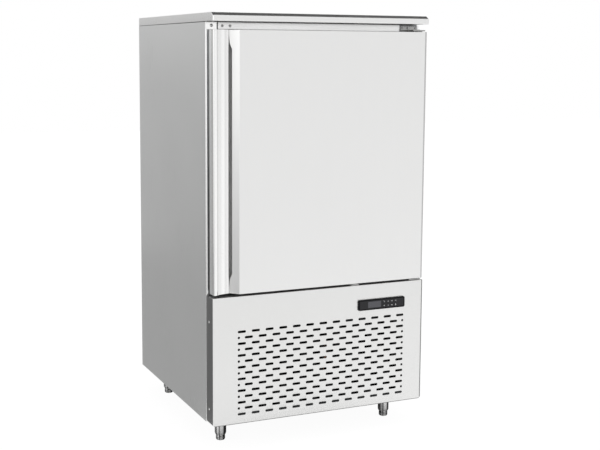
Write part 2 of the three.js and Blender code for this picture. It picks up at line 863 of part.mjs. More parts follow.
// Sheet across the cabin with wrapped sides and two guarded fan openings.
function evaporatorCover() {
  const { y, half, base, top, wrap } = AIR_PANEL;
  const section = foldedSheet([[-half, y + wrap], [-half, y], [half, y], [half, y + wrap]]);
  const holes = EVAPORATOR_FAN.heights.map((z) =>
    lyingY(EVAPORATOR_FAN.opening, y - 5, y + 5).translate(0, 0, z),
  );
  const guards = EVAPORATOR_FAN.heights.map((z) =>
    guard(0, z, [44, 86], 134, y - 2.4, y + 0.6),
  );
  return join(cut(prismZ(section, base, top), ...holes), ...guards);
}

// Coil with a comb of fins on both faces, between two end plates.
function finnedCoil(half, y0, y1, base, top, fins) {
  const pitch = (2 * half) / fins;
  const groove = 6;
  const comb = (y, depth) =>
    Array.from({ length: fins }, (_, i) => {
      const x = -half + i * pitch;
      return [
        [x, y],
        [x + pitch / 2, y],
        [x + pitch / 2, y + depth],
        [x + pitch, y + depth],
      ];
    }).flat();
  const plan = outline([...comb(y0, groove), ...comb(y1, -groove).reverse()]);
  const plates = [-half - 2, half].map((x) => box(x - 0.5, x + 2.5, y0 - 2, y1 + 2, base - 4, top + 4));
  return join(prismZ(plan, base, top), ...plates);
}

place(chiller, "evaporator_cover", evaporatorCover(), LINER_STEEL);
place(chiller, "evaporator_coil", finnedCoil(240, 262, CAVITY.back - GAP - 2, 604, 1345, 12), ALUMINIUM);
["lower", "upper"].forEach((name, i) => {
  const z = EVAPORATOR_FAN.heights[i];
  const { middle, radius } = EVAPORATOR_FAN;
  place(chiller, `evaporator_fan_${name}`, fan(radius, 32, 10, 5), BLACK_PLASTIC, [0, middle, z]);
  const seat = middle + 22;
  const leg = seat - AIR_PANEL.y - SHEET - GAP;
  const motor = fanMotor(36, 44, 22 - 10 - GAP, 146, leg);
  place(chiller, `evaporator_motor_${name}`, motor, BLACK_PAINT, [0, seat, z]);
});

const probeSocket = () =>
  latheY([[0, 0], [6, 0], [10, 3], [10, 8], [16, 9], [16, 12], [0, 12]], 12)
    .rotateZ(-Math.PI / 2)
    .translate(CAVITY.half - 12 - GAP, 148, 1346);

place(chiller, "probe_socket", probeSocket(), BLACK_PLASTIC);

// ---------------------------------------------------------------- condensing unit

const UNIT_FLOOR = FOOT_HEIGHT + SHEET + GAP;
const COIL = { x: -140, half: 190, front: FRAME + 24, depth: 58, base: 118, top: 455 };
const SHROUD = { front: COIL.front + COIL.depth + 2.5, depth: 56, opening: 158 };
const CONDENSER_FAN = { z: 286, radius: 148 };

// Duct behind the coil, with a guard in its round opening. The motor is bolted to the guard.
function condenserShroud() {
  const { front, depth, opening } = SHROUD;
  const left = COIL.x - COIL.half;
  const right = COIL.x + COIL.half;
  const back = front + depth;
  return join(
    cut(
      box(left, right, front, back, UNIT_FLOOR, COIL.top),
      box(
        left + SHEET,
        right - SHEET,
        front - 1,
        back - SHEET,
        UNIT_FLOOR + SHEET,
        COIL.top - SHEET,
      ),
      lyingY(opening, back - 5, back + 5).translate(COIL.x, 0, CONDENSER_FAN.z),
    ),
    cut(
      guard(COIL.x, CONDENSER_FAN.z, [44, 100], 166, back - 0.6, back + 2.4),
      lyingY(40, back - 5, back + 5, 14).translate(COIL.x, 0, CONDENSER_FAN.z),
    ),
  );
}

// Hermetic shell with a welded waist, on a plate with four rubber grommets.
function compressor() {
  const shell = lathe([
    [0, 118],
    [70, 121],
    [92, 145],
    [95, 255],
    [99, 257],
    [99, 265],
    [95, 267],
    [91, 350],
    [62, 384],
    [0, 392],
  ]);
  const grommets = [-1, 1].flatMap((a) =>
    [-1, 1].map((b) =>
      upright(12, UNIT_FLOOR, 117, 8).translate(a * 95, b * 75, 0),
    ),
  );
  return join(shell, box(-112, 112, -92, 92, 116, 120), ...grommets);
}

// Upright bottle with a domed head on a foot ring, and the pipe that feeds it from the coil.
const receiver = () =>
  join(
    lathe([
      [0, UNIT_FLOOR],
      [42, UNIT_FLOOR],
      [42, 112],
      [50, 116],
      [50, 300],
      [44, 318],
      [20, 328],
      [0, 330],
    ]),
    tube([[-30, 0, 322], [-60, -10, 345], [-150, -60, 345], [-220, -200, 250], [-242, -226, 150]], 5, 12, 6),
  );

const COMPRESSOR = [215, 175, 0];
const RECEIVER = [300, -70, 0];

const coil = finnedCoil(COIL.half - 3, COIL.front, COIL.front + COIL.depth, 118, 450, 10);
place(chiller, "condenser_coil", coil, ALUMINIUM, [COIL.x, 0, 0]);
place(chiller, "condenser_shroud", condenserShroud(), BLACK_PAINT);
const fanSpot = [COIL.x, SHROUD.front + SHROUD.depth - 28, CONDENSER_FAN.z];
place(chiller, "condenser_fan", fan(CONDENSER_FAN.radius, 36, 12, 5), ALUMINIUM, fanSpot);
const motorSeat = SHROUD.front + SHROUD.depth + 2.4 + GAP;
const condenserMotor = () =>
  latheY([
    [0, -motorSeat + fanSpot[1] + 12 + GAP],
    [5, -motorSeat + fanSpot[1] + 12 + GAP],
    [5, 0],
    [48, 0],
    [48, 5],
    [40, 8],
    [40, 62],
    [32, 70],
    [0, 70],
  ], 12);
place(chiller, "condenser_motor", condenserMotor(), BLACK_PAINT, [COIL.x, motorSeat, CONDENSER_FAN.z]);
place(chiller, "compressor", compressor(), BLACK_PAINT, COMPRESSOR);
place(chiller, "liquid_receiver", receiver(), BLACK_PAINT, RECEIVER);

// Copper lines. Each ends just short of the fitting that it is brazed to.
const dischargeLine = () =>
  tube([
    [180, 170, 392],
    [178, 160, 425],
    [150, 60, 448],
    [95, -120, 448],
    [72, -240, 440],
    [66, -285, 420],
    [50, -285, 420],
  ], 5, 15, 6);

const suctionLine = () =>
  tube([
    [262, 202, 394],
    [278, 222, 425],
    [294, 270, 455],
    [296, 306, 490],
    [296, 306, 560],
    [290, 306, 625],
    [246, 306, 640],
  ], 7, 14, 6);

// The drier is a fat copper body brazed into the line.
const liquidLine = () =>
  join(
    tube([
      [300, -70, 331],
      [300, -62, 365],
      [300, 40, 400],
      [240, 120, 425],
      [230, 180, 432],
      [246, 250, 440],
      [270, 284, 470],
      [271, 286, 520],
      [271, 286, 600],
      [268, 286, 672],
      [245, 286, 682],
    ], 4, 21, 6),
    latheY([[0, 0], [8, 0], [17, 10], [17, 62], [8, 72], [0, 72]], 10)
      .rotateX(0.28)
      .translate(300, -42, 370),
  );

place(chiller, "discharge_line", dischargeLine(), COPPER);
place(chiller, "suction_line", suctionLine(), COPPER);
place(chiller, "liquid_line", liquidLine(), COPPER);

// Sheet box with a lapped lid, hung under the cabin beside the controller.
const electricalBox = () =>
  join(
    box(120, 360, FRAME + 30, FRAME + 120, 388, CABIN_BASE - GAP),
    box(117, 363, FRAME + 28, FRAME + 44, 384, CABIN_BASE - GAP),
  );

// Compression gland for the supply cable, pointing down through the pan.
const cableGland = () =>
  lathe([
    [0, -26],
    [8, -26],
    [13, -20],
    [13, -10],
    [18, -8],
    [18, -GAP],
    [GLAND.radius - 1, -GAP],
    [GLAND.radius - 1, 4],
    [0, 4],
  ], 12);

place(chiller, "electrical_box", electricalBox(), GALVANISED);
place(chiller, "cable_gland", cableGland(), BLACK_PLASTIC, [GLAND.x, GLAND.y, FOOT_HEIGHT]);

export default chiller;
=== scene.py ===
import math

import bmesh
import bpy
from mathutils import Matrix, Vector


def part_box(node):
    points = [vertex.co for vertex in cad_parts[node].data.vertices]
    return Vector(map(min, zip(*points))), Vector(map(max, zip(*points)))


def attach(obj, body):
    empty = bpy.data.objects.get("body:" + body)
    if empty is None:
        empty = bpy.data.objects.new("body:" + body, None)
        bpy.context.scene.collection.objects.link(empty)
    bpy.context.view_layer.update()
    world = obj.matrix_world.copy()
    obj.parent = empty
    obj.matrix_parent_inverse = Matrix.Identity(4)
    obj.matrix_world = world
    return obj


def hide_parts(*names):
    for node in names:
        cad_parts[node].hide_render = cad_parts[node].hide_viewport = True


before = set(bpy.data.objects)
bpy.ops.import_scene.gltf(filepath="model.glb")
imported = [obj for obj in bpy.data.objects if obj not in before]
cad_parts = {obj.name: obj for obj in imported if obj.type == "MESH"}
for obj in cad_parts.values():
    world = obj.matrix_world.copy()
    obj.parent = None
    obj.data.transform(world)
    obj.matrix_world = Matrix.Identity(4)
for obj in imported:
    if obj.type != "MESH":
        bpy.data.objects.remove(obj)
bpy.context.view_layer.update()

# ---------------------------------------- The studio
# A pale seamless floor under soft lamps at the left front, at the right front and overhead,
# with an even white surround. Grey cards on the left, overhead and far out at the right back
# show only in the bare metal.
scene = bpy.context.scene
scene.view_settings.view_transform = "Standard"

camera = bpy.data.objects.new("camera", bpy.data.cameras.new("camera"))
scene.collection.objects.link(camera)
camera.location = (-1.6262, -3.6930, 1.3416)
camera.rotation_euler = (1.45044, -0.00507, -0.41833)
camera.data.lens = 65.414
camera.data.shift_x = 0.0328
camera.data.shift_y = -0.0700
scene.camera = camera


# Gives inputs of a node their values. A socket is linked, anything else is set.
def feed(node, inputs):
    for name, value in inputs.items():
        if isinstance(value, bpy.types.NodeSocket):
            node.id_data.links.new(value, node.inputs[name])
        else:
            node.inputs[name].default_value = value


# A new node. fields are its own settings, such as its operation.
def add_node(tree, kind, inputs=None, **fields):
    node = tree.nodes.new(kind)
    for field, value in fields.items():
        setattr(node, field, value)
    feed(node, inputs or {})
    return node


# The outcome of a sum whose terms are numbers or sockets.
def worked_out(tree, operation, *terms, **fields):
    return add_node(tree, "ShaderNodeMath", dict(enumerate(terms)), operation=operation, **fields).outputs[0]


# A value carried over from the range source to the range target.
def ranged(tree, value, target, source=(0, 1), **fields):
    inputs = {"Value": value}
    inputs["From Min"], inputs["From Max"] = source
    inputs["To Min"], inputs["To Max"] = target
    return add_node(tree, "ShaderNodeMapRange", inputs, **fields).outputs["Result"]


# Where a point of the object lies, whole or split into its X, Y and Z.
def object_place(tree):
    return add_node(tree, "ShaderNodeTexCoord").outputs["Object"]


def object_axes(tree):
    return add_node(tree, "ShaderNodeSeparateXYZ", {0: object_place(tree)}).outputs


def main_shader(material):
    return material.node_tree.nodes["Principled BSDF"]


# A new material, with its tree of nodes and its main shader.
def new_material(name):
    material = bpy.data.materials.new(name)
    material.use_nodes = True
    return material, material.node_tree, main_shader(material)


white = (1, 1, 1, 1)
surround = bpy.data.worlds.new("surround")
scene.world = surround
surround.use_nodes = True
tree = surround.node_tree
rays = add_node(tree, "ShaderNodeLightPath").outputs
seen = worked_out(tree, "ADD", rays["Is Camera Ray"], rays["Is Glossy Ray"])
through = worked_out(tree, "ADD", seen, rays["Is Transmission Ray"], use_clamp=True)
feed(tree.nodes["Background"], {"Color": white, "Strength": ranged(tree, through, (0.62, 1))})


# The lamps light the plastic and paint. The bare metal mirrors the cards and the surround.
def soft_lamp(name, place, aim, size, watts):
    lamp = bpy.data.objects.new(name, bpy.data.lights.new(name, "AREA"))
    lamp.data.shape = "SQUARE"
    lamp.data.size = size
    lamp.data.energy = watts
    lamp.location = place
    lamp.rotation_euler = (Vector(aim) - Vector(place)).to_track_quat("-Z", "Y").to_euler()
    lamp.visible_glossy = False
    scene.collection.objects.link(lamp)


soft_lamp("left_front_lamp", (-3.3, -1.7, 1.5), (0, -0.2, 0.7), 2.6, 34)
soft_lamp("right_front_lamp", (2.6, -3.4, 2.3), (0, 0, 0.7), 2.4, 48)
soft_lamp("top_lamp", (-0.3, -0.9, 3.6), (0, 0, 0.7), 1.8, 12)


# A card glows with one grey, or fades from it to a second one between two heights.
def studio_card(name, points, grey, upper=None, heights=(0, 1)):
    bm = bmesh.new()
    bm.faces.new([bm.verts.new(p) for p in points])
    card = bpy.data.objects.new(name, bpy.data.meshes.new(name))
    bm.to_mesh(card.data)
    bm.free()
    paper, tree, _ = new_material(name)
    tree.nodes.clear()
    glow = add_node(tree, "ShaderNodeEmission", {"Color": white, "Strength": grey})
    if upper:
        feed(glow, {"Strength": ranged(tree, object_axes(tree)["Z"], (grey, upper), heights)})
    add_node(tree, "ShaderNodeOutputMaterial", {"Surface": glow.outputs[0]})
    card.data.materials.append(paper)
    card.visible_camera = card.visible_diffuse = card.visible_shadow = False
    card.visible_transmission = card.visible_volume_scatter = False
    scene.collection.objects.link(card)


def standing(start, end, foot, top):
    return [(*start, foot), (*end, foot), (*end, top), (*start, top)]


def lying(points, height):
    return [(x, y, height) for x, y in points]


left_end, right_end = (-5.0, 3.3), (-0.9, 3.3)
studio_card("left_card", standing(left_end, right_end, 0, 1.2), 0.44, 0.475, (0.1, 1.2))
studio_card("left_high_card", standing(left_end, right_end, 1.2, 3.4), 0.50, 0.85, (1.2, 2.3))
studio_card("left_front_card", standing((-3.4, -3.4), (-3.4, -0.1), 0, 3.0), 0.50, 1.4, (0.1, 1.3))
studio_card("right_back_card", standing((4.4, 1.0), (4.4, 6.5), 0, 3.4), 0.06)
on_floor = 0.002
plan = [(-3.6, -0.1), (-0.42, -0.1), (-0.42, 3.3), (-3.6, 3.3)]
studio_card("left_floor_card", lying(plan, on_floor), 0.41)
plan = [(-3.4, -2.8), (-0.8, -1.0), (-0.8, -0.1), (-3.4, -0.1)]
studio_card("left_front_floor_card", lying(plan, on_floor), 0.55)
plan = [(-1.8, -0.6), (3.8, -0.6), (3.8, 3.4), (-1.8, 3.4)]
studio_card("overhead_card", lying(plan, 3.3), 0.085)

# Near the object the floor shows a little of its lit paint, and with it the shadow. Further out
# it only glows white. The metal mirrors the paint up close and the glow beyond.
bm = bmesh.new()
bmesh.ops.create_grid(bm, x_segments=2, y_segments=2, size=14)
floor = bpy.data.objects.new("floor", bpy.data.meshes.new("floor"))
bm.to_mesh(floor.data)
bm.free()
scene.collection.objects.link(floor)
paper, tree, paint = new_material("floor_paper")
floor.data.materials.append(paper)
reach = add_node(tree, "ShaderNodeVectorMath", {0: object_place(tree)}, operation="LENGTH").outputs["Value"]
seen_far = ranged(tree, reach, (0, 1), (0.75, 2.2), interpolation_type="SMOOTHSTEP")
mirrored_far = ranged(tree, reach, (0, 1), (0.46, 0.80), interpolation_type="SMOOTHSTEP")
rays = add_node(tree, "ShaderNodeLightPath").outputs
direct = worked_out(tree, "MULTIPLY", rays["Is Camera Ray"], ranged(tree, seen_far, (0.91, 1)))
share = worked_out(tree, "MULTIPLY_ADD", rays["Is Glossy Ray"], mirrored_far, direct)
glow = add_node(tree, "ShaderNodeEmission", {"Color": white, "Strength": 1.05})
feed(paint, {"Base Color": (0.93, 0.93, 0.93, 1), "Roughness": 0.9, "Specular IOR Level": 0.1})
blend = add_node(tree, "ShaderNodeMixShader", {"Fac": share, 1: paint.outputs[0], 2: glow.outputs[0]})
feed(tree.nodes["Material Output"], {"Surface": blend.outputs[0]})

# ---------------------------------------- Top cover
# A tray of 1.2 mm stainless sheet turned upside down over the cabinet, with closed ends.
# Its front edge is a bevelled nose that overhangs the door. Satin ground along its width.


def noise(tree, place, scale, detail, roughness=0.5):
    inputs = {"Vector": place, "Scale": scale, "Detail": detail, "Roughness": roughness}
    return add_node(tree, "ShaderNodeTexNoise", inputs).outputs["Fac"]


def mixed(tree, share, first, second, **fields):
    inputs = {"Factor": share, "A": first, "B": second}
    return add_node(tree, "ShaderNodeMix", inputs, data_type="RGBA", **fields).outputs["Result"]


# A colour that wanders between a darker and a lighter tone of itself, as share says.
def varied(tree, share, colour, darker, lighter):
    dark = [c * darker for c in colour]
    light = [min(c * lighter, 1) for c in colour]
    return mixed(tree, share, (*dark, 1), (*light, 1))


def relief(tree, height, strength, depth):
    inputs = {"Strength": strength, "Distance": depth, "Height": height}
    return add_node(tree, "ShaderNodeBump", inputs).outputs["Normal"]


# Satin ground sheet. grain says how fine the scratches are along X, Y and Z, so the smallest
# of the three is the direction of grinding. Handling leaves faint cloudy patches on it.
def ground_steel(name, colour, rough, grain, bump=0.05):
    steel, tree, metal = new_material(name)
    place = object_place(tree)
    along = add_node(tree, "ShaderNodeMapping", {"Vector": place, "Scale": grain}).outputs[0]
    scratches = noise(tree, along, 1, 6, 0.7)
    clouds = noise(tree, place, 3.1, 3)
    both = worked_out(tree, "MULTIPLY_ADD", clouds, 0.45, scratches)
    feed(metal, {
        "Metallic": 1,
        "Roughness": ranged(tree, both, (rough - 0.06, rough + 0.09), (0.45, 1)),
        "Base Color": varied(tree, clouds, colour, 0.975, 1.025),
        "Normal": relief(tree, scratches, bump, 0.0004),
    })
    return steel


def points_of(geom):
    return [g for g in geom if isinstance(g, bmesh.types.BMVert)]


# A folded sheet: the prism over a closed outline, less the sides that the real sheet leaves
# open. Its folds get their bending radius from bend, and its wall from the Solidify modifier.
def folded(outline, pull, open_sides=(), ends=True):
    bm = bmesh.new()
    points = [Vector(p) for p in outline]
    pull = Vector(pull)
    end = bm.faces.new([bm.verts.new(p) for p in points])
    grown = bmesh.ops.extrude_face_region(bm, geom=[end], use_keep_orig=True)["geom"]
    bmesh.ops.translate(bm, vec=pull, verts=points_of(grown))
    bmesh.ops.recalc_face_normals(bm, faces=bm.faces)
    middles = [(points[i] + points[(i + 1) % len(points)] + pull) / 2 for i in open_sides]
    gone = [
        f
        for f in bm.faces
        if (not ends and abs(f.normal.dot(pull.normalized())) > 0.99)
        or any((f.calc_center_median() - m).length < 1e-5 for m in middles)
    ]
    bmesh.ops.delete(bm, geom=gone, context="FACES")
    return bm


def bend(bm, radius, segments=3, chosen=None):
    folds = [
        e
        for e in (chosen or bm.edges)
        if e.is_valid and e.is_manifold and e.calc_face_angle(0) > 0.03
    ]
    bmesh.ops.bevel(
        bm, geom=folds, offset=radius, segments=segments, profile=0.5,
        affect="EDGES", material=-1, clamp_overlap=True,
    )


# The finished piece: wall is the thickness that a sheet gets inwards of its modelled face.
def made(bm, name, body, material, stands_for=(), wall=0, angle=35):
    mesh = bpy.data.meshes.new(name)
    bm.to_mesh(mesh)
    bm.free()
    mesh.materials.append(material)
    mesh.shade_smooth()
    mesh.set_sharp_from_angle(angle=math.radians(angle))
    piece = bpy.data.objects.new(name, mesh)
    scene.collection.objects.link(piece)
    if wall:
        thick = piece.modifiers.new("wall", "SOLIDIFY")
        thick.thickness = wall
        thick.offset = -1
    even = piece.modifiers.new("even_faces", "WEIGHTED_NORMAL")
    even.keep_sharp = True
    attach(piece, body)
    if stands_for:
        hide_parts(*stands_for)
    return piece


# The corners of the box round a CAD piece, lowest first, without the noise of their last digits.
def box_corners(node):
    return [[round(c, 6) for c in corner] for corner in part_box(node)]


sheet, fold_radius = 0.0012, 0.0011
cover_steel = ground_steel("cover_steel", (0.82, 0.82, 0.815), 0.30, (6, 90, 420))
(left, front, foot), (right, rear, top) = box_corners("top_cover")
lip_back = front + 0.0200
bevel_foot, bevel_back = top - 0.0108, front + 0.0170
end_radius = 0.0042
outline = [
    (lip_back, foot), (front, foot), (front, bevel_foot), (bevel_back, top), (rear, top), (rear, foot),
]
bm = folded([(left, y, z) for y, z in outline], (right - left, 0, 0), open_sides=(5,))
nose = [
    e
    for e in bm.edges
    if all(abs(v.co.x) > right - 0.001 and v.co.y < bevel_back + 0.0001 for v in e.verts)
]
bend(bm, end_radius, 6, nose)
bend(bm, fold_radius, 3, [e for e in bm.edges if e.calc_face_angle(0) > 0.4])
cover = made(bm, "cover", "cabinet", cover_steel, ["top_cover"], wall=sheet)

# ---------------------------------------- Side panels
# One sheet each side, satin ground from top to bottom. The front edge is folded into a narrow
# lip with a return beside the door, and a flange at the back carries the back panel.


# A square block between two opposite corners.
def block(bm, corner, opposite):
    size = Matrix.Diagonal((*[abs(b - a) for a, b in zip(corner, opposite)], 1))
    middle = (Vector(corner) + Vector(opposite)) / 2
    bmesh.ops.create_cube(bm, size=1, matrix=Matrix.Translation(middle) @ size)


# Some faces of a piece get another finish.
def second_finish(piece, material, chosen):
    piece.data.materials.append(material)
    for face in piece.data.polygons:
        if chosen(face):
            face.material_index = 1


# Painted highlight: the cover's left end is painted paler where its nose is rounded, like the lips of the
# side panels.
def rounded_left(face):
    return -0.98 < face.normal.x < -0.05 and face.normal.y < -0.05 and face.center.x < -0.39


side_grain = (420, 420, 5)
side_steel = ground_steel("side_steel", (0.765, 0.77, 0.765), 0.31, side_grain)
# Painted highlight: a paler copy of the side steel, for the lips and rounded edges that catch the light.
lip_highlight_steel = ground_steel("lip_highlight_steel", (0.86, 0.86, 0.855), 0.24, side_grain, 0.02)
second_finish(cover, lip_highlight_steel, rounded_left)
(_, front, foot), (half_width, rear, _) = box_corners("right_side_panel")
lip_width, return_depth, corner_radius = 0.008, 0.012, 0.0052
side_height = 1.3392
sides = ((-1, "left"), (1, "right"))
lip = half_width - lip_width
outline = [(lip, front + return_depth), (lip, front), (half_width, front), (half_width, rear)]
for side, name in sides:
    points = [(side * x, y, foot) for x, y in outline]
    bm = folded(points, (0, 0, side_height), open_sides=(3,), ends=False)
    bend(bm, fold_radius, 3, [e for e in bm.edges if abs(e.verts[0].co.x) < lip + 0.001])
    outer = [e for e in bm.edges if all(abs(v.co.x) > half_width - 0.0005 for v in e.verts)]
    bend(bm, corner_radius, 8, outer)
    node = f"{name}_side_panel"
    panel = made(bm, f"{name}_side", "cabinet", side_steel, [node], wall=sheet)
    # Painted highlight: the lip's front faces take the paler lip steel.
    second_finish(panel, lip_highlight_steel, lambda face: face.normal.y < -0.05)
    bm = bmesh.new()
    block(bm, (side * 0.3800, 0.4048, 0.099), (side * 0.3988, 0.4060, 1.432))
    bend(bm, 0.0004, 1)
    made(bm, f"{name}_side_flange", "cabinet", side_steel)

# ---------------------------------------- Back panel
# Plain galvanised sheet let in between the side panels, with five rows of round-ended vents
# behind the condensing unit and pan-head screws down both edges.


# Hot-dip galvanised sheet: dull zinc with the flat crystal flakes of the coating.
def zinc_coat(name, colour, rough):
    zinc, tree, metal = new_material(name)
    place = object_place(tree)
    flakes = add_node(tree, "ShaderNodeTexVoronoi", {"Vector": place, "Scale": 75}).outputs["Color"]
    flake_tone = add_node(tree, "ShaderNodeSeparateColor", {0: flakes}).outputs[0]
    haze = noise(tree, place, 9, 5)
    feed(metal, {
        "Metallic": 1,
        "Roughness": ranged(tree, haze, (rough - 0.08, rough + 0.12)),
        "Base Color": varied(tree, flake_tone, colour, 0.8, 1.15),
    })
    return zinc


# Turns a flat ring so that its axis runs along Y.
along_y = Matrix.Rotation(math.radians(90), 4, "X")
forward, backward = (0, -1, 0), (0, 1, 0)
corners = ((-1, -1), (1, -1), (1, 1), (-1, 1))


def closed_line(bm, points):
    line = [bm.verts.new(p) for p in points]
    return [bm.edges.new(pair) for pair in zip(line, line[1:] + line[:1])]


# An upright rectangle that looks along Y, about a point.
def rectangle(bm, x, y, z, half_x, half_z):
    return closed_line(bm, [(x + a * half_x, y, z + b * half_z) for a, b in corners])


def ring(bm, centre, radius, segments, turn):
    place = Matrix.Translation(centre) @ turn
    drawn = bmesh.ops.create_circle(bm, cap_ends=False, segments=segments, radius=radius, matrix=place)
    return drawn["verts"]


def edges_at(points):
    return list({e for v in points for e in v.link_edges})


def edges_between(bm, points):
    return [e for e in bm.edges if all(v in points for v in e.verts)]


# A round-ended hole's outline in a sheet that stands across Y. Short ones come out round.
def slot_outline(bm, x, y, z, length, height):
    half_step = math.radians(15)
    turn = along_y @ Matrix.Rotation(half_step, 4, "Z")
    points = ring(bm, (x, y, z), height / 2 / math.cos(half_step), 12, turn)
    half = max(length - height, 0) / 2
    for way in (-1, 1):
        end = [v for v in points if (v.co.x - x) * way > 0]
        bmesh.ops.translate(bm, verts=end, vec=(way * half, 0, 0))
    return edges_at(points)


# Fills the flat region between an outer line of edges and the holes inside it.
def pierced(bm, edges, facing):
    filled = bmesh.ops.triangle_fill(bm, edges=edges, use_beauty=True, normal=facing)["geom"]
    faces = [g for g in filled if isinstance(g, bmesh.types.BMFace)]
    bmesh.ops.recalc_face_normals(bm, faces=faces)
    if faces[0].normal.dot(Vector(facing)) < 0:
        bmesh.ops.reverse_faces(bm, faces=faces)


# Draws a line of edges out into a wall and gives the points at the wall's far side.
def pulled(bm, edges, way):
    points = points_of(bmesh.ops.extrude_edge_only(bm, edges=edges)["geom"])
    bmesh.ops.translate(bm, verts=points, vec=way)
    return points


# Adds one part to the mesh of the whole piece.
def join(whole, part):
    shape = bpy.data.meshes.new("part")
    part.to_mesh(shape)
    part.free()
    whole.from_mesh(shape)
    bpy.data.meshes.remove(shape)


# Pan-head screws with a cross recess, all those of one piece in one mesh. out is the way
# their heads face.
def screws(name, spots, out, radius, material):
    bm = bmesh.new()
    turn = Vector(out).to_track_quat("Z", "Y").to_matrix().to_4x4()
    for place in spots:
        head = bmesh.new()
        rim = edges_at(ring(head, (0, 0, 0), radius, 20, Matrix()))
        up = pulled(head, rim, (0, 0, 0.18 * radius))
        for shrink, rise in ((0.93, 0.16), (0.78, 0.15), (0.62, 0.08)):
            gain = shrink * radius / max(v.co.xy.length for v in up)
            up = pulled(head, edges_between(head, up), (0, 0, rise * radius))
            bmesh.ops.scale(head, verts=up, vec=(gain, gain, 1))
        top = edges_between(head, up)
        height = up[0].co.z
        arm, web = 0.48 * radius, 0.11 * radius
        quarter = [(arm, -web), (arm, web), (web, web)]
        cross = []
        for _ in range(4):
            cross += [(x, y, height) for x, y in quarter]
            quarter = [(-y, x) for x, y in quarter]
        recess = closed_line(head, cross)
        pierced(head, top + recess, (0, 0, 1))
        deep = pulled(head, recess, (0, 0, -0.3 * radius))
        bmesh.ops.edgeloop_fill(head, edges=edges_between(head, deep))
        bmesh.ops.edgeloop_fill(head, edges=[e for e in rim if e.is_valid])
        bmesh.ops.recalc_face_normals(head, faces=head.faces)
        bmesh.ops.transform(head, matrix=Matrix.Translation(place) @ turn, verts=head.verts)
        join(bm, head)
    made(bm, name, "cabinet", material, angle=40)


back_zinc = zinc_coat("back_zinc", (0.50, 0.52, 0.53), 0.46)
screw_steel = ground_steel("screw_steel", (0.47, 0.47, 0.47), 0.3, (900, 900, 900), 0.02)
(_, _, foot), (right, rear, top) = box_corners("back_panel")
vent_length, vent_height = 0.15, 0.009
lowest_vent, vent_pitch, column_pitch = 0.1945, 0.045, 0.21
bm = bmesh.new()
edges = rectangle(bm, 0, rear, (foot + top) / 2, right, (top - foot) / 2)
for row in range(5):
    z = lowest_vent + row * vent_pitch
    for column in (-1, 0, 1):
        edges += slot_outline(bm, column * column_pitch, rear, z, vent_length, vent_height)
# The screws of one edge stand a hair out of line, because the fill fails on holes that share
# one exact line.
hair = 0.00001
spots = []
for side in (-1, 1):
    spots += [(side * (0.3885 - i * i * hair), 0.4058, 0.14 + i * 0.155) for i in range(9)]
for x, _, z in spots:
    edges += slot_outline(bm, x, rear, z, 0.0068, 0.0068)
pierced(bm, edges, backward)
made(bm, "back", "cabinet", back_zinc, ["back_panel"], wall=sheet)
screws("back_screws", spots, backward, 0.0029, screw_steel)

# ---------------------------------------- Front frame and cabin
# A dark grey plastic frame round the door opening breaks the path of the heat. Behind it stand
# the foamed insulation and the stainless liner of the cabin, with rounded corners.


# A CAD piece whose shape is right, with its doubled points merged and its edges eased.
def eased(node, width, segments=2, angle=20):
    bm = bmesh.new()
    bm.from_mesh(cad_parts[node].data)
    bmesh.ops.remove_doubles(bm, verts=bm.verts, dist=1e-6)
    bmesh.ops.dissolve_limit(bm, angle_limit=math.radians(1), verts=bm.verts, edges=bm.edges)
    sharp = [e for e in bm.edges if e.is_manifold and e.calc_face_angle(0) > math.radians(angle)]
    bend(bm, width, segments, sharp)
    return bm


# Moulded plastic or painted metal: a fine grain and slight change of tone over the surface.
def moulded(name, colour, rough, grain=900, bump=0.08, metallic=0.0):
    stuff, tree, skin = new_material(name)
    place = object_place(tree)
    pores = noise(tree, place, grain, 3)
    wear = noise(tree, place, 14, 4)
    feed(skin, {
        "Metallic": metallic,
        "Roughness": ranged(tree, wear, (max(rough - 0.08, 0.02), min(rough + 0.08, 1))),
        "Base Color": varied(tree, wear, colour, 0.9, 1.1),
        "Normal": relief(tree, pores, bump, 0.0003),
    })
    return stuff


# Multiplies the colour that a material has so far.
def toned(stuff, factor):
    skin = main_shader(stuff)
    colour = skin.inputs["Base Color"].links[0].from_socket
    feed(skin, {"Base Color": mixed(stuff.node_tree, 1, colour, factor, blend_type="MULTIPLY")})


# Painted light, paler towards the top where more light falls: gain times its tone at the height high.
def painted_light_upwards(stuff, low, high, gain):
    tree = stuff.node_tree
    toned(stuff, ranged(tree, object_axes(tree)["Z"], (1, gain), (low, high)))


frame_plastic = moulded("frame_plastic", (0.13, 0.133, 0.135), 0.45)
# Painted light: the frame is painted paler towards the top, where the slit beside the door is lit more.
painted_light_upwards(frame_plastic, 0.85, 1.40, 2.8)
bm = eased("front_frame", 0.0006)
made(bm, "door_frame", "cabinet", frame_plastic, ["front_frame"])

liner_steel = ground_steel("liner_steel", (0.58, 0.59, 0.59), 0.34, (9, 9, 380), 0.01)
bm = eased("cabin_liner", 0.0004, angle=60)
made(bm, "liner", "cabinet", liner_steel, ["cabin_liner"], angle=50)

foam, tree, skin = new_material("rigid_foam")
place = object_place(tree)
cells = add_node(tree, "ShaderNodeTexVoronoi", {"Vector": place, "Scale": 260}).outputs["Distance"]
swirl = noise(tree, place, 11, 6)
feed(skin, {
    "Roughness": 0.92,
    "Base Color": mixed(tree, swirl, (0.70, 0.60, 0.34, 1), (0.86, 0.77, 0.50, 1)),
    "Normal": relief(tree, cells, 0.35, 0.001),
})
bm = eased("insulation", 0.003, angle=60)
made(bm, "cabinet_foam", "cabinet", foam, ["insulation"])

# A dark plastic strip along the top of each side panel closes the joint below the cover and stands in for
# the shade in that gap.
bm = bmesh.new()
for side in (-1, 1):
    block(bm, (side * 0.3967, -0.325, 1.4292), (side * 0.3987, 0.402, 1.4358))
bend(bm, 0.0004, 1)
joint_shade_plastic = moulded("joint_shade_plastic", (0.13, 0.133, 0.135), 0.45)
made(bm, "joint_strips", "cabinet", joint_shade_plastic)

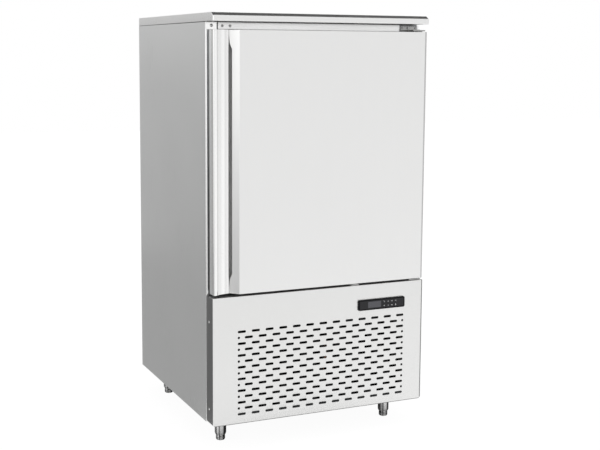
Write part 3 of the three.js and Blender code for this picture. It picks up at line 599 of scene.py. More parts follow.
# ---------------------------------------- Corner plate and header strip
# A bright plate closes the corner above the handle, held by one screw. A folded strip runs from
# it to the upper hinge over the head of the frame, held by two screws.
strip_foot, strip_front, frame_face = 1.411, -0.3455, -0.3378
bright_steel = ground_steel("bright_steel", (0.95, 0.95, 0.945), 0.17, (300, 300, 8), 0.02)
bm = bmesh.new()
block(bm, (-0.3997, -0.3393, strip_foot), (-0.3610, frame_face, 1.4357))
bend(bm, 0.0004, 2)
made(bm, "corner_cap", "cabinet", bright_steel, ["corner_plate"])
screws("corner_screw", [(-0.3805, -0.3393, 1.4238)], forward, 0.0052, screw_steel)

strip_steel = ground_steel("strip_steel", (0.88, 0.88, 0.875), 0.28, (5, 300, 420))
outline = [(frame_face, strip_foot), (strip_front, strip_foot), (strip_front, 1.435), (frame_face, 1.435)]
bm = folded([(-0.36, y, z) for y, z in outline], (0.677, 0, 0), open_sides=(3,), ends=False)
bend(bm, 0.0012)
made(bm, "head_strip", "cabinet", strip_steel, ["header_trim"], wall=sheet)
spots = [(x, strip_front, 1.4225) for x in (-0.345, -0.318)]
screws("head_strip_screws", spots, forward, 0.0046, screw_steel)

# ---------------------------------------- Hinges
# Pressed steel brackets screwed to the frame above and below the door. Each has a flat plate,
# an arm over the end of the door and a pin riveted through the arm.


# Spins a line of (radius, height) points once round an axis through centre.
def spun(bm, profile, centre, steps, axis=(0, 0, 1), closed=False):
    centre, axis = Vector(centre), Vector(axis)
    line = [bm.verts.new(centre + Vector((r, 0, 0)) + h * axis) for r, h in profile]
    last = line[:1] if closed else []
    edges = [bm.edges.new(pair) for pair in zip(line, line[1:] + last)]
    bmesh.ops.spin(bm, geom=edges, cent=centre, axis=axis, angle=math.tau, steps=steps, use_merge=True)
    on_axis = [v for v in bm.verts if (v.co - centre).cross(axis).length < 1e-6]
    bmesh.ops.remove_doubles(bm, verts=on_axis, dist=1e-6)
    bmesh.ops.recalc_face_normals(bm, faces=bm.faces)


hinge_steel = ground_steel("hinge_steel", (0.36, 0.36, 0.355), 0.22, (300, 300, 60), 0.02)
hinge_axis = (0.375, -0.3775, 0)
plate_front, hinge_right = -0.3408, 0.392
for name, plate, arm, (foot, top), node in (
    ("upper_hinge_bracket", (1.4150, 1.4310), (1.4127, 1.4170), (1.390, 1.4186), "upper_hinge"),
    ("lower_hinge_bracket", (0.506, 0.538), (0.534, 0.538), (0.5325, 0.561), "lower_hinge"),
):
    bm = bmesh.new()
    block(bm, (0.324, plate_front, plate[0]), (hinge_right, frame_face, plate[1]))
    block(bm, (0.345, -0.3955, arm[0]), (hinge_right, -0.3388, arm[1]))
    bend(bm, 0.0007, 2)
    ease = 0.0006
    pin = [(0, foot), (0.0044, foot), (0.005, foot + ease), (0.005, top - ease), (0.0044, top), (0, top)]
    spun(bm, pin, hinge_axis, 24)
    made(bm, name, "cabinet", hinge_steel, [node])
spots = [(x, plate_front, 1.4243) for x in (0.331, 0.352, 0.384)]
screws("upper_hinge_screws", spots, forward, 0.0036, screw_steel)
spots = [(x, plate_front, 0.5185) for x in (0.330, 0.356, 0.382)]
screws("lower_hinge_screws", spots, forward, 0.0036, screw_steel)

# ---------------------------------------- Door skin
# The smooth front sheet of the door, folded back at the right, top and bottom. Its left edge is
# slanted back into a valley, and a long finger slot is cut out of that slant.


# Painted shade: the folds and returns of a sheet are painted a darker grey where they turn away
# from the light. It shows past half_width from x = middle, and below foot where that is given.
def painted_fold_shade(steel, grey, middle, half_width, foot=-1.0):
    tree = steel.node_tree
    axes = object_axes(tree)
    across = worked_out(tree, "COMPARE", axes["X"], middle, half_width)
    above = worked_out(tree, "GREATER_THAN", axes["Z"], foot)
    flat = worked_out(tree, "MULTIPLY", across, above)
    metal = main_shader(steel)
    ground = metal.inputs["Base Color"].links[0].from_socket
    feed(metal, {"Base Color": mixed(tree, flat, (grey, grey, grey, 1), ground)})


door_grain = (380, 380, 4)
door_steel = ground_steel("door_steel", (0.83, 0.83, 0.825), 0.33, door_grain, 0.03)
# Painted shade: the door's side folds are painted a darker grey.
painted_fold_shade(door_steel, 0.52, middle=-0.0058, half_width=0.3932)
(_, door_front, door_foot), (door_right, door_back, door_top) = box_corners("door_skin")
door_height = door_top - door_foot
corner_chamfer = 0.003
outline = [
    (-0.3332, -0.3756), (-0.307, door_front), (door_right - corner_chamfer, door_front),
    (door_right, door_front + corner_chamfer), (door_right, door_back), (-0.331, door_back),
]
bm = folded([(x, y, door_foot) for x, y in outline], (0, 0, door_height), open_sides=(4, 5))
# How wide the finger slot has opened at each height, and how steep the slant is that it cuts.
slot_opening = {0.561: 0, 0.589: 0.0018, 0.608: 0.0076, 1.347: 0.0076, 1.366: 0.0018, 1.394: 0}
slant = 27.7 / 26
for level in slot_opening:
    whole = [*bm.verts, *bm.edges, *bm.faces]
    bmesh.ops.bisect_plane(bm, geom=whole, plane_co=(0, 0, level), plane_no=(0, 0, 1))
for level, opened in slot_opening.items():
    edge = [v for v in bm.verts if abs(v.co.z - level) < 1e-6 and v.co.x < -0.3330]
    bmesh.ops.translate(bm, verts=edge, vec=(opened, -opened * slant, 0))
bend(bm, fold_radius)
made(bm, "door_face", "door", door_steel, ["door_skin"], wall=sheet)

# ---------------------------------------- Handle
# The bar beside the finger slot is one bright sheet, rolled into a beaded lip, a long hollow
# face, a step and the rounded corner of the door, with painted bands of highlight and reflection across it.
# A channel behind the slot keeps out the foam.


# A run of greys, each at its own place between 0 and 1.
def grey_run(tree, value, stops):
    ramp = add_node(tree, "ShaderNodeValToRGB", {"Fac": value})
    marks = ramp.color_ramp.elements
    for place, grey in stops:
        mark = marks.new(place) if 0 < place < 1 else marks[-1 if place else 0]
        mark.color = (grey, grey, grey, 1)
    return ramp.outputs["Color"]


handle_steel = ground_steel("handle_steel", (0.92, 0.92, 0.915), 0.16, (500, 500, 6), 0.015)
tree = handle_steel.node_tree
across = ranged(tree, object_axes(tree)["X"], (0, 1), (-0.395, -0.333))
# Painted highlight and reflection: lighter and darker grey bands across the bar stand in for the studio
# mirrored in its curves.
toned(handle_steel, grey_run(tree, across, [
    (0.0, 0.86), (0.03, 0.90), (0.17, 1.0), (0.215, 0.90), (0.28, 0.88), (0.46, 0.88),
    (0.54, 0.97), (0.66, 1.0), (0.72, 0.90), (0.78, 0.83), (0.84, 0.88), (1.0, 1.0),
]))
outline = [
    (-0.3950, -0.3738), (-0.3950, -0.3895), (-0.3945, -0.3922), (-0.3932, -0.3943), (-0.3905, -0.3957),
    (-0.3870, -0.3951), (-0.3825, -0.3933), (-0.3808, -0.3922), (-0.3790, -0.3908), (-0.3757, -0.3889),
    (-0.3690, -0.3856), (-0.3610, -0.3831), (-0.3545, -0.3811), (-0.3480, -0.3795), (-0.3410, -0.3785),
    (-0.3372, -0.3781), (-0.3350, -0.3773), (-0.3337, -0.3757), (-0.3334, -0.3738),
]
bm = folded([(x, y, door_foot) for x, y in outline], (0, 0, door_height), open_sides=(18,))
bend(bm, 0.0005, 2, [e for e in bm.edges if abs((e.verts[0].co - e.verts[1].co).z) < 1e-6])
made(bm, "handle_bar", "door", handle_steel, ["handle_profile"], wall=sheet, angle=40)

# Painted light: the lining is pale and half matte, so that the lamps light the finger slot behind the
# handle.
lightened_channel_steel = ground_steel("lightened_channel_steel", (0.66, 0.66, 0.655), 0.5, (400, 400, 6))
feed(main_shader(lightened_channel_steel), {"Metallic": 0.4})
bm = eased("handle_channel", 0.0005)
made(bm, "handle_lining", "door", lightened_channel_steel, ["handle_channel"])

# ---------------------------------------- Inside of the door
# A stainless pan whose raised middle stands into the cabin's mouth, the block of foam that
# fills the door, and the plastic bushes that turn on the hinge pins.
pan_steel = ground_steel("pan_steel", (0.84, 0.845, 0.845), 0.27, door_grain, 0.02)
# Painted light: the pan is painted a little paler towards the top, where more light reaches it.
painted_light_upwards(pan_steel, 0.90, 1.40, 1.14)
bm = eased("door_inner_panel", 0.0005, 3)
made(bm, "door_pan", "door", pan_steel, ["door_inner_panel"])
made(eased("door_foam", 0.002, angle=60), "door_core", "door", foam, ["door_foam"])
grey_plastic = moulded("grey_plastic", (0.50, 0.51, 0.51), 0.45)
bore, neck, flange = 0.0056, 0.009, 0.013
flange_height = 0.002
for name in ("lower", "upper"):
    node = f"hinge_bush_{name}"
    (_, _, foot), (_, _, top) = box_corners(node)
    if name == "lower":
        step = foot + flange_height
        outside = [(flange, foot), (flange, step), (neck, step), (neck, top)]
    else:
        step = top - flange_height
        outside = [(neck, foot), (neck, step), (flange, step), (flange, top)]
    bm = bmesh.new()
    spun(bm, [(bore, foot), *outside, (bore, top)], hinge_axis, 32, closed=True)
    made(bm, f"{name}_bush", "door", grey_plastic, [node])

# ---------------------------------------- Door gasket
# Soft grey magnetic seal, mitred at the corners: a foot pressed into the door pan, thin bellows
# and the hollow bead that holds the magnet strip.
rubber = moulded("gasket_rubber", (0.075, 0.077, 0.08), 0.6, 500, 0.05)
# Painted light: the seal is painted up to five times paler towards the top, where more light reaches it.
painted_light_upwards(rubber, 0.85, 1.40, 5)
outer_half = [
    (0.014, -0.3572), (0.014, -0.3525), (0.0078, -0.3518), (0.0052, -0.3500), (0.0078, -0.3482),
    (0.0052, -0.3464), (0.0078, -0.3452), (0.0115, -0.3448), (0.012, -0.3438), (0.012, -0.3402),
    (0.011, -0.3392),
]
section = outer_half + [(-out, y) for out, y in reversed(outer_half)]
seal_x, seal_z, seal_middle = 0.372, 0.4155, door_foot + door_height / 2
bm = bmesh.new()
loops = []
for a, b in corners:
    points = [(a * (seal_x + out), y, seal_middle + b * (seal_z + out)) for out, y in section]
    loops.append(closed_line(bm, points))
for near, far in zip(loops, loops[1:] + loops[:1]):
    bmesh.ops.bridge_loops(bm, edges=near + far)
bmesh.ops.recalc_face_normals(bm, faces=bm.faces)
made(bm, "door_seal", "door", rubber, ["door_gasket"], angle=50)

# ---------------------------------------- Lower panel
# One satin sheet in front of the condensing unit, folded back all round with two rounded lower
# corners. Fifteen staggered rows of punched slots let the air in.


def middle_of(node):
    low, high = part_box(node)
    return (low + high) / 2


# A flat rectangle across Y between two opposite corners, with its corners rounded and a border
# round its open middle. Gives its outer and its inner edges.
def bordered(bm, y, start, end, radius, border, rounded=(0, 1, 2, 3)):
    (x0, z0), (x1, z1) = start, end
    line = [bm.verts.new((x, y, z)) for x, z in ((x0, z0), (x1, z0), (x1, z1), (x0, z1))]
    bm.faces.new(line)
    bmesh.ops.bevel(
        bm, geom=[line[i] for i in rounded], offset=radius, segments=6, profile=0.5,
        affect="VERTICES", material=-1,
    )
    bmesh.ops.inset_individual(bm, faces=list(bm.faces), thickness=border)
    rim = [e for e in bm.edges if e.is_boundary]
    inner = max(bm.faces, key=lambda f: f.calc_area())
    inner_edges = list(inner.edges)
    bmesh.ops.delete(bm, geom=[inner], context="FACES_ONLY")
    return rim, inner_edges


# Turns the faces of an open sheet so that its largest flat looks forward.
def face_forward(bm):
    bmesh.ops.recalc_face_normals(bm, faces=bm.faces)
    if max(bm.faces, key=lambda f: abs(f.normal.y) * f.calc_area()).normal.y > 0:
        bmesh.ops.reverse_faces(bm, faces=bm.faces)


panel_steel = ground_steel("panel_steel", (0.787, 0.787, 0.78), 0.33, door_grain, 0.03)
# Painted highlight: these screw heads are pale and mostly matte, so that the lamps make them shine on the
# shaded returns.
highlight_screw_steel = ground_steel("highlight_screw_steel", (0.95, 0.95, 0.94), 0.35, (900, 900, 900), 0.02)
feed(main_shader(highlight_screw_steel), {"Metallic": 0.2})
# Painted shade: the lower panel's side returns are painted dark grey.
painted_fold_shade(panel_steel, 0.20, middle=-0.0019, half_width=0.39765, foot=0.0972)
(_, front, foot), (right, _, top) = box_corners("lower_panel")
controller = middle_of("controller_housing")
corner_radius, margin = 0.009, 0.006
bm = bmesh.new()
rim, edges = bordered(bm, front, (right, foot), (-right, top), corner_radius, margin, rounded=(0, 1))
top_row, row_pitch = 0.4115, 0.02025
slots_middle, slot_pitch = 0.0065, 0.05045
slot_length, slot_height = 0.0295, 0.0085
for row in range(15):
    z = top_row - row * row_pitch
    count = 13 - row % 2
    for i in range(count):
        x = slots_middle + (i - (count - 1) / 2) * slot_pitch
        edges += slot_outline(bm, x, front, z, slot_length, slot_height)
    # The shorter rows end in a round hole at each side.
    if row % 2:
        for way in (-1, 1):
            x = slots_middle + way * (6 * slot_pitch + 0.01075)
            edges += slot_outline(bm, x, front, z, slot_height, slot_height)
cut_out_x, cut_out_z = 0.076, 0.016
edges += rectangle(bm, controller.x, front, controller.z, cut_out_x, cut_out_z)
pierced(bm, edges, forward)
# The top is folded back by 40 mm, the sides and the foot by 19.7 mm more.
top_fold, deeper_fold = 0.04, 0.0197
back_line = pulled(bm, rim, (0, top_fold, 0))
low = [e for e in edges_between(bm, back_line) if not all(v.co.z > top - 0.002 for v in e.verts)]
pulled(bm, low, (0, deeper_fold, 0))

# The side folds are flat still: each is filled again round the two holes for its screws.
along_x = Matrix.Rotation(math.radians(90), 4, "Y")
screw_heights, screw_y, hole_radius = (0.147, 0.446), -0.3615, 0.0049
for side in (-1, 1):
    whole = [f for f in bm.faces if all((v.co.x - side * right) * side > -1e-6 for v in f.verts)]
    line = [e for f in whole for e in f.edges]
    shared = [e for e in line if line.count(e) > 1]
    edges = [e for e in line if e not in shared]
    bmesh.ops.delete(bm, geom=whole, context="FACES_ONLY")
    bmesh.ops.delete(bm, geom=list(set(shared)), context="EDGES")
    for z in screw_heights:
        edges += edges_at(ring(bm, (side * right, screw_y, z), hole_radius, 20, along_x))
    pierced(bm, edges, (side, 0, 0))
face_forward(bm)
bend(bm, 0.0022, 4)
made(bm, "service_panel", "cabinet", panel_steel, ["lower_panel"], wall=sheet)
for side, name in sides:
    spots = [(side * 0.39745, screw_y, z) for z in screw_heights]
    screws(f"service_panel_screws_{name}", spots, (side, 0, 0), 0.0044, highlight_screw_steel)

# ---------------------------------------- Door switch
# A small grey plastic block clipped to the top of the lower panel, with a sprung plunger that
# the closed door holds down.
bm = bmesh.new()
block(bm, (0.118, -0.3895, 0.5323), (0.148, -0.3655, 0.5350))
block(bm, (0.123, -0.3855, 0.5345), (0.143, -0.3695, 0.5375))
bend(bm, 0.0006, 3)
switch_plastic = moulded("switch_plastic", (0.66, 0.66, 0.65), 0.35)
made(bm, "door_contact", "cabinet", switch_plastic, ["door_switch"])

# ---------------------------------------- Controller
# Black moulded housing pushed into the panel from the front, held by its rounded bezel. The
# display sits behind a smoked window, and eight pockets hold the keys.
black_plastic = moulded("black_plastic", (0.014, 0.014, 0.016), 0.40, 1400, 0.10)
feed(main_shader(black_plastic), {"Specular IOR Level": 0.3})
bezel_front, bezel_depth, border = -0.4035, 0.0057, 0.0048
bezel_x, bezel_z, bezel_radius = 0.0925, 0.019, 0.0055
start, end = [(controller.x + way * bezel_x, controller.z + way * bezel_z) for way in (-1, 1)]
bm = bmesh.new()
rim, edges = bordered(bm, bezel_front, start, end, bezel_radius, border)
key_names = ("start", "light", "up", "defrost", "set", "probe", "down", "print")
# Each hole is a little wider than what sits in it, by gap all round.
holes = [("display_window", 0.0003, 0.0015)]
holes += [(f"key_{name}", 0.0004, 0.0045) for name in key_names]
pockets = []
for node, gap, depth in holes:
    low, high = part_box(node)
    middle, half = (low + high) / 2, (high - low) / 2
    mouth = rectangle(bm, middle.x, bezel_front, middle.z, half.x + gap, half.z + gap)
    pockets.append((mouth, depth))
    edges += mouth
pierced(bm, edges, forward)
for mouth, depth in pockets:
    deep = pulled(bm, mouth, (0, depth, 0))
    bmesh.ops.edgeloop_fill(bm, edges=edges_between(bm, deep))
base = pulled(bm, rim, (0, bezel_depth, 0))
back = bmesh.ops.edgeloop_fill(bm, edges=edges_between(bm, base))["faces"]
bmesh.ops.inset_individual(bm, faces=back, thickness=0.004)
# The box behind the bezel is 150 mm wide and reaches 52 mm back.
narrowing, box_depth = 0.150 / 0.177, 0.052
for f in back:
    to_middle = Matrix.Translation(-f.calc_center_median())
    bmesh.ops.scale(bm, verts=f.verts, vec=(narrowing, 1, 1), space=to_middle)
grown = bmesh.ops.extrude_face_region(bm, geom=back)["geom"]
bmesh.ops.translate(bm, verts=points_of(grown), vec=(0, box_depth, 0))
bmesh.ops.delete(bm, geom=[f for f in back if f.is_valid], context="FACES_ONLY")
bmesh.ops.recalc_face_normals(bm, faces=bm.faces)
bend(bm, 0.0016, 4, [e for e in rim if e.is_valid])
case = made(bm, "controller_case", "cabinet", black_plastic, ["controller_housing"])


# The rounded border of the bezel is polished, so it looks blacker than the grained face.
def on_border(face):
    out_x = abs(face.center.x - controller.x) >= bezel_x - border - 0.0001
    out_z = abs(face.center.z - controller.z) >= bezel_z - border - 0.0001
    return face.center.y < -0.398 and (out_x or out_z)


border_plastic = moulded("border_plastic", (0.004, 0.004, 0.005), 0.30, 1400, 0.02)
feed(main_shader(border_plastic), {"Specular IOR Level": 0.1})
second_finish(case, border_plastic, on_border)

# The smoked window: a polished plate over the dark display, with its edge chamfered.
smoke, tree, glass = new_material("smoked_window")
haze = noise(tree, object_place(tree), 40, 2)
feed(glass, {
    "Roughness": 0.12,
    "Coat Weight": 1,
    "Coat Roughness": 0.04,
    "Base Color": mixed(tree, haze, (0.018, 0.018, 0.026, 1), (0.028, 0.028, 0.040, 1)),
})
bm = bmesh.new()
block(bm, *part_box("display_window"))
bend(bm, 0.0004, 2)
made(bm, "display_glass", "cabinet", smoke, ["display_window"])

# ---------------------------------------- Keys
# Eight soft keys with rounded edges, each with a small pale symbol printed on it: run, lamp,
# up and defrost above, set, core probe, down and print below.
key_rubber = moulded("key_rubber", (0.022, 0.022, 0.025), 0.55, 1200, 0.10)
print_ink = moulded("print_ink", (0.90, 0.91, 0.92), 0.5)


# The symbols are flat shapes about a key's middle: bars, rings, discs and arrowheads.
def ink_bar(bm, x, z, wide, high, turn=0.0):
    size = Matrix.Rotation(turn, 4, "Y") @ Matrix.Diagonal((wide, 1, high, 1))
    place = Matrix.Translation((x, 0, z)) @ size @ along_y
    bmesh.ops.create_grid(bm, x_segments=1, y_segments=1, size=0.5, matrix=place)


def ink_ring(bm, x, z, radius, wide):
    place = Matrix.Translation((x, 0, z)) @ along_y
    points = bmesh.ops.create_circle(bm, cap_ends=True, segments=20, radius=radius, matrix=place)["verts"]
    face = points[0].link_faces[0]
    if wide:
        bmesh.ops.inset_individual(bm, faces=[face], thickness=wide)
        bmesh.ops.delete(bm, geom=[face], context="FACES_ONLY")


def ink_point(bm, half, up):
    turn = along_y @ Matrix.Rotation(math.radians(90 * up), 4, "Z")
    bmesh.ops.create_circle(bm, cap_ends=True, segments=3, radius=half, matrix=turn)


def symbol(bm, name):
    if name == "start":
        ink_ring(bm, 0, 0, 0.0021, 0.0004)
        ink_bar(bm, 0, 0.0013, 0.0004, 0.0017)
    elif name == "light":
        ink_ring(bm, 0, 0.0004, 0.0014, 0.0004)
        ink_bar(bm, 0, -0.0016, 0.0012, 0.0004)
        ink_bar(bm, 0, -0.0023, 0.0008, 0.0003)
    elif name in ("up", "down"):
        ink_point(bm, 0.0022, 1 if name == "up" else -1)
    elif name == "defrost":
        for turn in (0, 60, 120):
            ink_bar(bm, 0, 0, 0.0042, 0.0004, math.radians(turn))
    elif name == "set":
        for z in (0.0014, 0, -0.0014):
            ink_bar(bm, 0, z, 0.0034, 0.0005)
    elif name == "probe":
        ink_bar(bm, 0, 0.0006, 0.0006, 0.0030)
        ink_ring(bm, 0, -0.0016, 0.0008, 0)
    else:
        ink_bar(bm, 0, 0.0002, 0.0040, 0.0014)
        ink_bar(bm, 0, 0.0016, 0.0024, 0.0006)
        ink_bar(bm, 0, -0.0014, 0.0024, 0.0008)


print_y = -0.40416
for name in key_names:
    node = f"key_{name}"
    bm = bmesh.new()
    block(bm, *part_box(node))
    bend(bm, 0.0011, 4, [e for e in bm.edges if abs(e.verts[0].co.y - e.verts[1].co.y) > 0.001])
    bend(bm, 0.0004, 3, [e for e in bm.edges if all(v.co.y < -0.403 for v in e.verts)])
    made(bm, f"{name}_key", node, key_rubber, [node])
    bm = bmesh.new()
    symbol(bm, name)
    bmesh.ops.recalc_face_normals(bm, faces=bm.faces)
    for f in bm.faces:
        if f.normal.y > 0:
            f.normal_flip()
    middle = middle_of(node)
    bmesh.ops.translate(bm, verts=bm.verts, vec=(middle.x, print_y, middle.z))
    made(bm, f"{name}_symbol", node, print_ink, wall=0.00005)

# ---------------------------------------- Feet
# Polished stainless feet, with painted reflections in lengthwise streaks: a sleeve with a flange under the
# pan and a tapered mouth, and a threaded stem with a rounded sole that turns down out of it.


# A turned part: a line of (radius, height) points spun round an axis through centre.
def turned(profile, centre, steps=40, axis=(0, 0, 1)):
    bm = bmesh.new()
    spun(bm, profile, centre, steps, axis)
    return bm


# Painted reflection: the light and dark streaks, which stand in for the studio mirrored in the round
# steel, follow the angle round a foot's own axis. SIGN tells the left feet from the right
# ones, and GREATER_THAN the rear feet from the front ones.
foot_steel = ground_steel("foot_steel", (0.88, 0.88, 0.875), 0.09, (60, 60, 900), 0.01)
front_foot, rear_foot = middle_of("foot_stem_front_right"), middle_of("foot_stem_rear_right")
tree = foot_steel.node_tree
axes = object_axes(tree)
side = worked_out(tree, "SIGN", axes["X"])
from_x = worked_out(tree, "MULTIPLY_ADD", side, -front_foot.x, axes["X"])
behind = worked_out(tree, "GREATER_THAN", axes["Y"], 0.02)
from_y = worked_out(tree, "MULTIPLY_ADD", behind, front_foot.y - rear_foot.y, axes["Y"])
centred = worked_out(tree, "ADD", from_y, -front_foot.y)
around = worked_out(tree, "ARCTAN2", centred, from_x)
turn = ranged(tree, around, (0, 1), (-math.pi, math.pi))
toned(foot_steel, grey_run(tree, turn, [
    (0.0, 0.30), (0.080, 0.30), (0.095, 0.95), (0.130, 0.95), (0.146, 0.28), (0.176, 0.28),
    (0.190, 0.88), (0.270, 0.80), (0.292, 0.06), (0.420, 0.06), (0.446, 0.85), (0.53, 0.90),
    (0.56, 0.35), (0.60, 0.35), (0.63, 0.95), (0.70, 0.80), (0.73, 0.08), (0.80, 0.08),
    (0.83, 0.90), (0.93, 0.90), (0.955, 0.30), (1.0, 0.30),
]))
sleeve = [
    (0, 0.072), (0.0167, 0.072), (0.0167, 0.0202), (0.0175, 0.020), (0.0182, 0.0212),
    (0.0196, 0.0252), (0.020, 0.0268), (0.020, 0.0885), (0.0212, 0.0903), (0.0255, 0.0908),
    (0.026, 0.0915), (0.026, 0.0947), (0, 0.0947),
]
stem = [
    (0, 0), (0.0118, 0), (0.0136, 0.0006), (0.0149, 0.0018), (0.0158, 0.0040), (0.016, 0.0058),
    (0.016, 0.0125), (0.0152, 0.0135),
]
thread_pitch, crest, root = 0.004, 0.0160, 0.0150
for i in range(14):
    z = 0.0140 + i * thread_pitch
    stem += [(crest, z + 0.0006), (crest, z + 0.0014), (root, z + 0.0026), (root, z + 0.0034)]
stem += [(root, 0.0695), (0.0145, 0.070), (0, 0.070)]
for end in ("front", "rear"):
    for side in ("left", "right"):
        place = f"{end}_{side}"
        middle = middle_of(f"foot_stem_{place}")
        axis_foot = (middle.x, middle.y, 0)
        bm = turned(sleeve, axis_foot)
        node = f"foot_sleeve_{place}"
        made(bm, f"sleeve_{place}", "cabinet", foot_steel, [node], angle=28)
        bm = turned(stem, axis_foot)
        node = f"foot_stem_{place}"
        made(bm, f"stem_{place}_screw", f"stem_{place}", foot_steel, [node], angle=28)

# ---------------------------------------- Tray racks
# Two posts each side, with ten runners folded from bright sheet and welded across them. Each
# runner stands up against the posts and turns out into the ledge that carries a tray.
rack_steel = ground_steel("rack_steel", (0.90, 0.90, 0.895), 0.2, (300, 6, 300), 0.01)
post_width, level_pitch = 0.025, 0.074
runner_wall, runner_edge, runner_height = 0.332, 0.283, 0.014
for side, name in sides:
    bm = bmesh.new()
    for y in (-0.275, 0.073):
        block(bm, (side * 0.3317, y, 0.576), (side * 0.3347, y + post_width, 1.350))
    bend(bm, 0.0006, 2)
    made(bm, f"rack_posts_{name}", "cabinet", rack_steel)
    whole = bmesh.new()
    for level in range(10):
        z = 0.606 + level * level_pitch
        top = z + runner_height
        outline = [(runner_wall, top), (runner_wall, z), (runner_edge, z), (runner_edge, top)]
        points = [(side * x, -0.305, height) for x, height in outline]
        rail = folded(points, (0, 0.433, 0), open_sides=(2, 3), ends=False)
        bend(rail, 0.0014, 3)
        join(whole, rail)
    node = f"rack_{name}"
    made(whole, f"rack_runners_{name}", "cabinet", rack_steel, [node], wall=sheet)

# ---------------------------------------- Evaporator cover
# A sheet across the back of the cabin with two round openings, closed by wire guards of
# plated rings spot-welded to four spokes, and screwed down at its edges.
(_, _, foot), (right, _, top) = box_corners("evaporator_cover")
cover_face, cover_return, opening_radius = 0.168, 0.024, 0.126
fan_heights = {name: middle_of(f"evaporator_motor_{name}").z for name in ("lower", "upper")}
bm = bmesh.new()
rim = rectangle(bm, 0, cover_face, (foot + top) / 2, right, (top - foot) / 2)
edges = list(rim)
for z in fan_heights.values():
    edges += edges_at(ring(bm, (0, cover_face, z), opening_radius, 64, along_y))
pierced(bm, edges, forward)
upright = [e for e in rim if abs(e.verts[0].co.z - e.verts[1].co.z) > 0.1]
pulled(bm, upright, (0, cover_return, 0))
face_forward(bm)
upright = [e for e in bm.edges if abs(e.verts[0].co.z - e.verts[1].co.z) > 0.1]
bend(bm, 0.0014, 3, upright)
made(bm, "air_panel", "cabinet", liner_steel, ["evaporator_cover"], wall=sheet)
screw_heights = (0.61, 0.79, 0.975, 1.16, 1.342)
spots = [(side * 0.318, cover_face, z) for side in (-1, 1) for z in screw_heights]
screws("air_panel_screws", spots, forward, 0.004, screw_steel)


def rod(bm, centre, turn, radius, length, segments):
    place = Matrix.Translation(centre) @ turn
    bmesh.ops.create_cone(
        bm, cap_ends=True, segments=segments, radius1=radius, radius2=radius, depth=length, matrix=place,
    )


# Rings of round wire about a point, with straight wires across behind them. Two cross wires
# make four spokes.
def wire_guard(centre, radii, wire, reach, cross_wires):
    bm = bmesh.new()
    centre = Vector(centre)
    for radius in radii:
        edges = edges_at(ring(bm, centre + Vector((radius, 0, 0)), wire, 8, Matrix()))
        bmesh.ops.spin(
            bm, geom=edges, cent=centre, axis=(0, 1, 0), angle=math.tau, steps=56, use_merge=True,
        )
    for i in range(cross_wires):
        turn = Matrix.Rotation(math.pi * (i + 0.5) / cross_wires, 4, "Y")
        rod(bm, centre + Vector((0, 1.9 * wire, 0)), turn, wire * 1.1, 2 * reach, 8)
    bmesh.ops.recalc_face_normals(bm, faces=bm.faces)
    return bm


wire_steel = ground_steel("wire_steel", (0.74, 0.74, 0.74), 0.22, (200, 200, 200), 0.02)
guard_radii = [0.024 + i * 0.0165 for i in range(7)]
for name, z in fan_heights.items():
    bm = wire_guard((0, 0.1664, z), guard_radii, 0.0010, 0.133, 2)
    made(bm, f"{name}_air_guard", "cabinet", wire_steel)

# ---------------------------------------- Fans and their motors
# Moulded wheels with five swept, twisted blades round a hub with a rounded nose. Each turns on
# the shaft of a small painted motor held behind it on a strap.


# Each blade starts as a flat grid, and its points are then moved to the swept, twisted shape.
def fan_wheel(centre, radius, hub, depth, blades, wall):
    bm = bmesh.new()
    for blade in range(blades):
        apart = Matrix.Translation((0, 0, 9 + blade))
        bmesh.ops.create_grid(bm, x_segments=7, y_segments=6, size=0.5, matrix=apart)
    root = hub * 0.9
    for blade in range(blades):
        turn = Matrix.Rotation(math.tau * blade / blades, 3, "Y")
        for v in [v for v in bm.verts if abs(v.co.z - 9 - blade) < 0.4]:
            # out runs from the hub to the tip, across from edge to edge, and u round the hub.
            out = v.co.x + 0.5
            across = v.co.y
            r = root + (radius - root) * out
            chord = radius * (0.26 + 0.46 * math.sin(math.pi * (0.12 + 0.62 * out)))
            pitch = math.radians(38 - 17 * out)
            sweep = 0.20 * radius * out * out
            blunt = 1 - 0.10 * max(out - 0.8, 0) * 5 * (2 * across) ** 2
            u = across * chord * blunt + sweep
            v.co = turn @ Vector((
                math.sqrt(max(r * r * blunt * blunt - u * u, 0)),
                -across * chord * math.sin(pitch) + 0.006 * (1 - 4 * across * across),
                u * math.cos(pitch),
            ))
    bmesh.ops.solidify(bm, geom=bm.faces, thickness=wall)
    nose = [
        (0, -depth), (hub * 0.55, -depth), (hub * 0.85, -depth * 0.86), (hub * 0.97, -depth * 0.55),
        (hub, -depth * 0.2), (hub, depth * 0.96), (hub * 0.97, depth), (0, depth),
    ]
    spun(bm, nose, (0, 0, 0), 40, axis=(0, 1, 0))
    bmesh.ops.translate(bm, verts=bm.verts, vec=centre)
    return bm


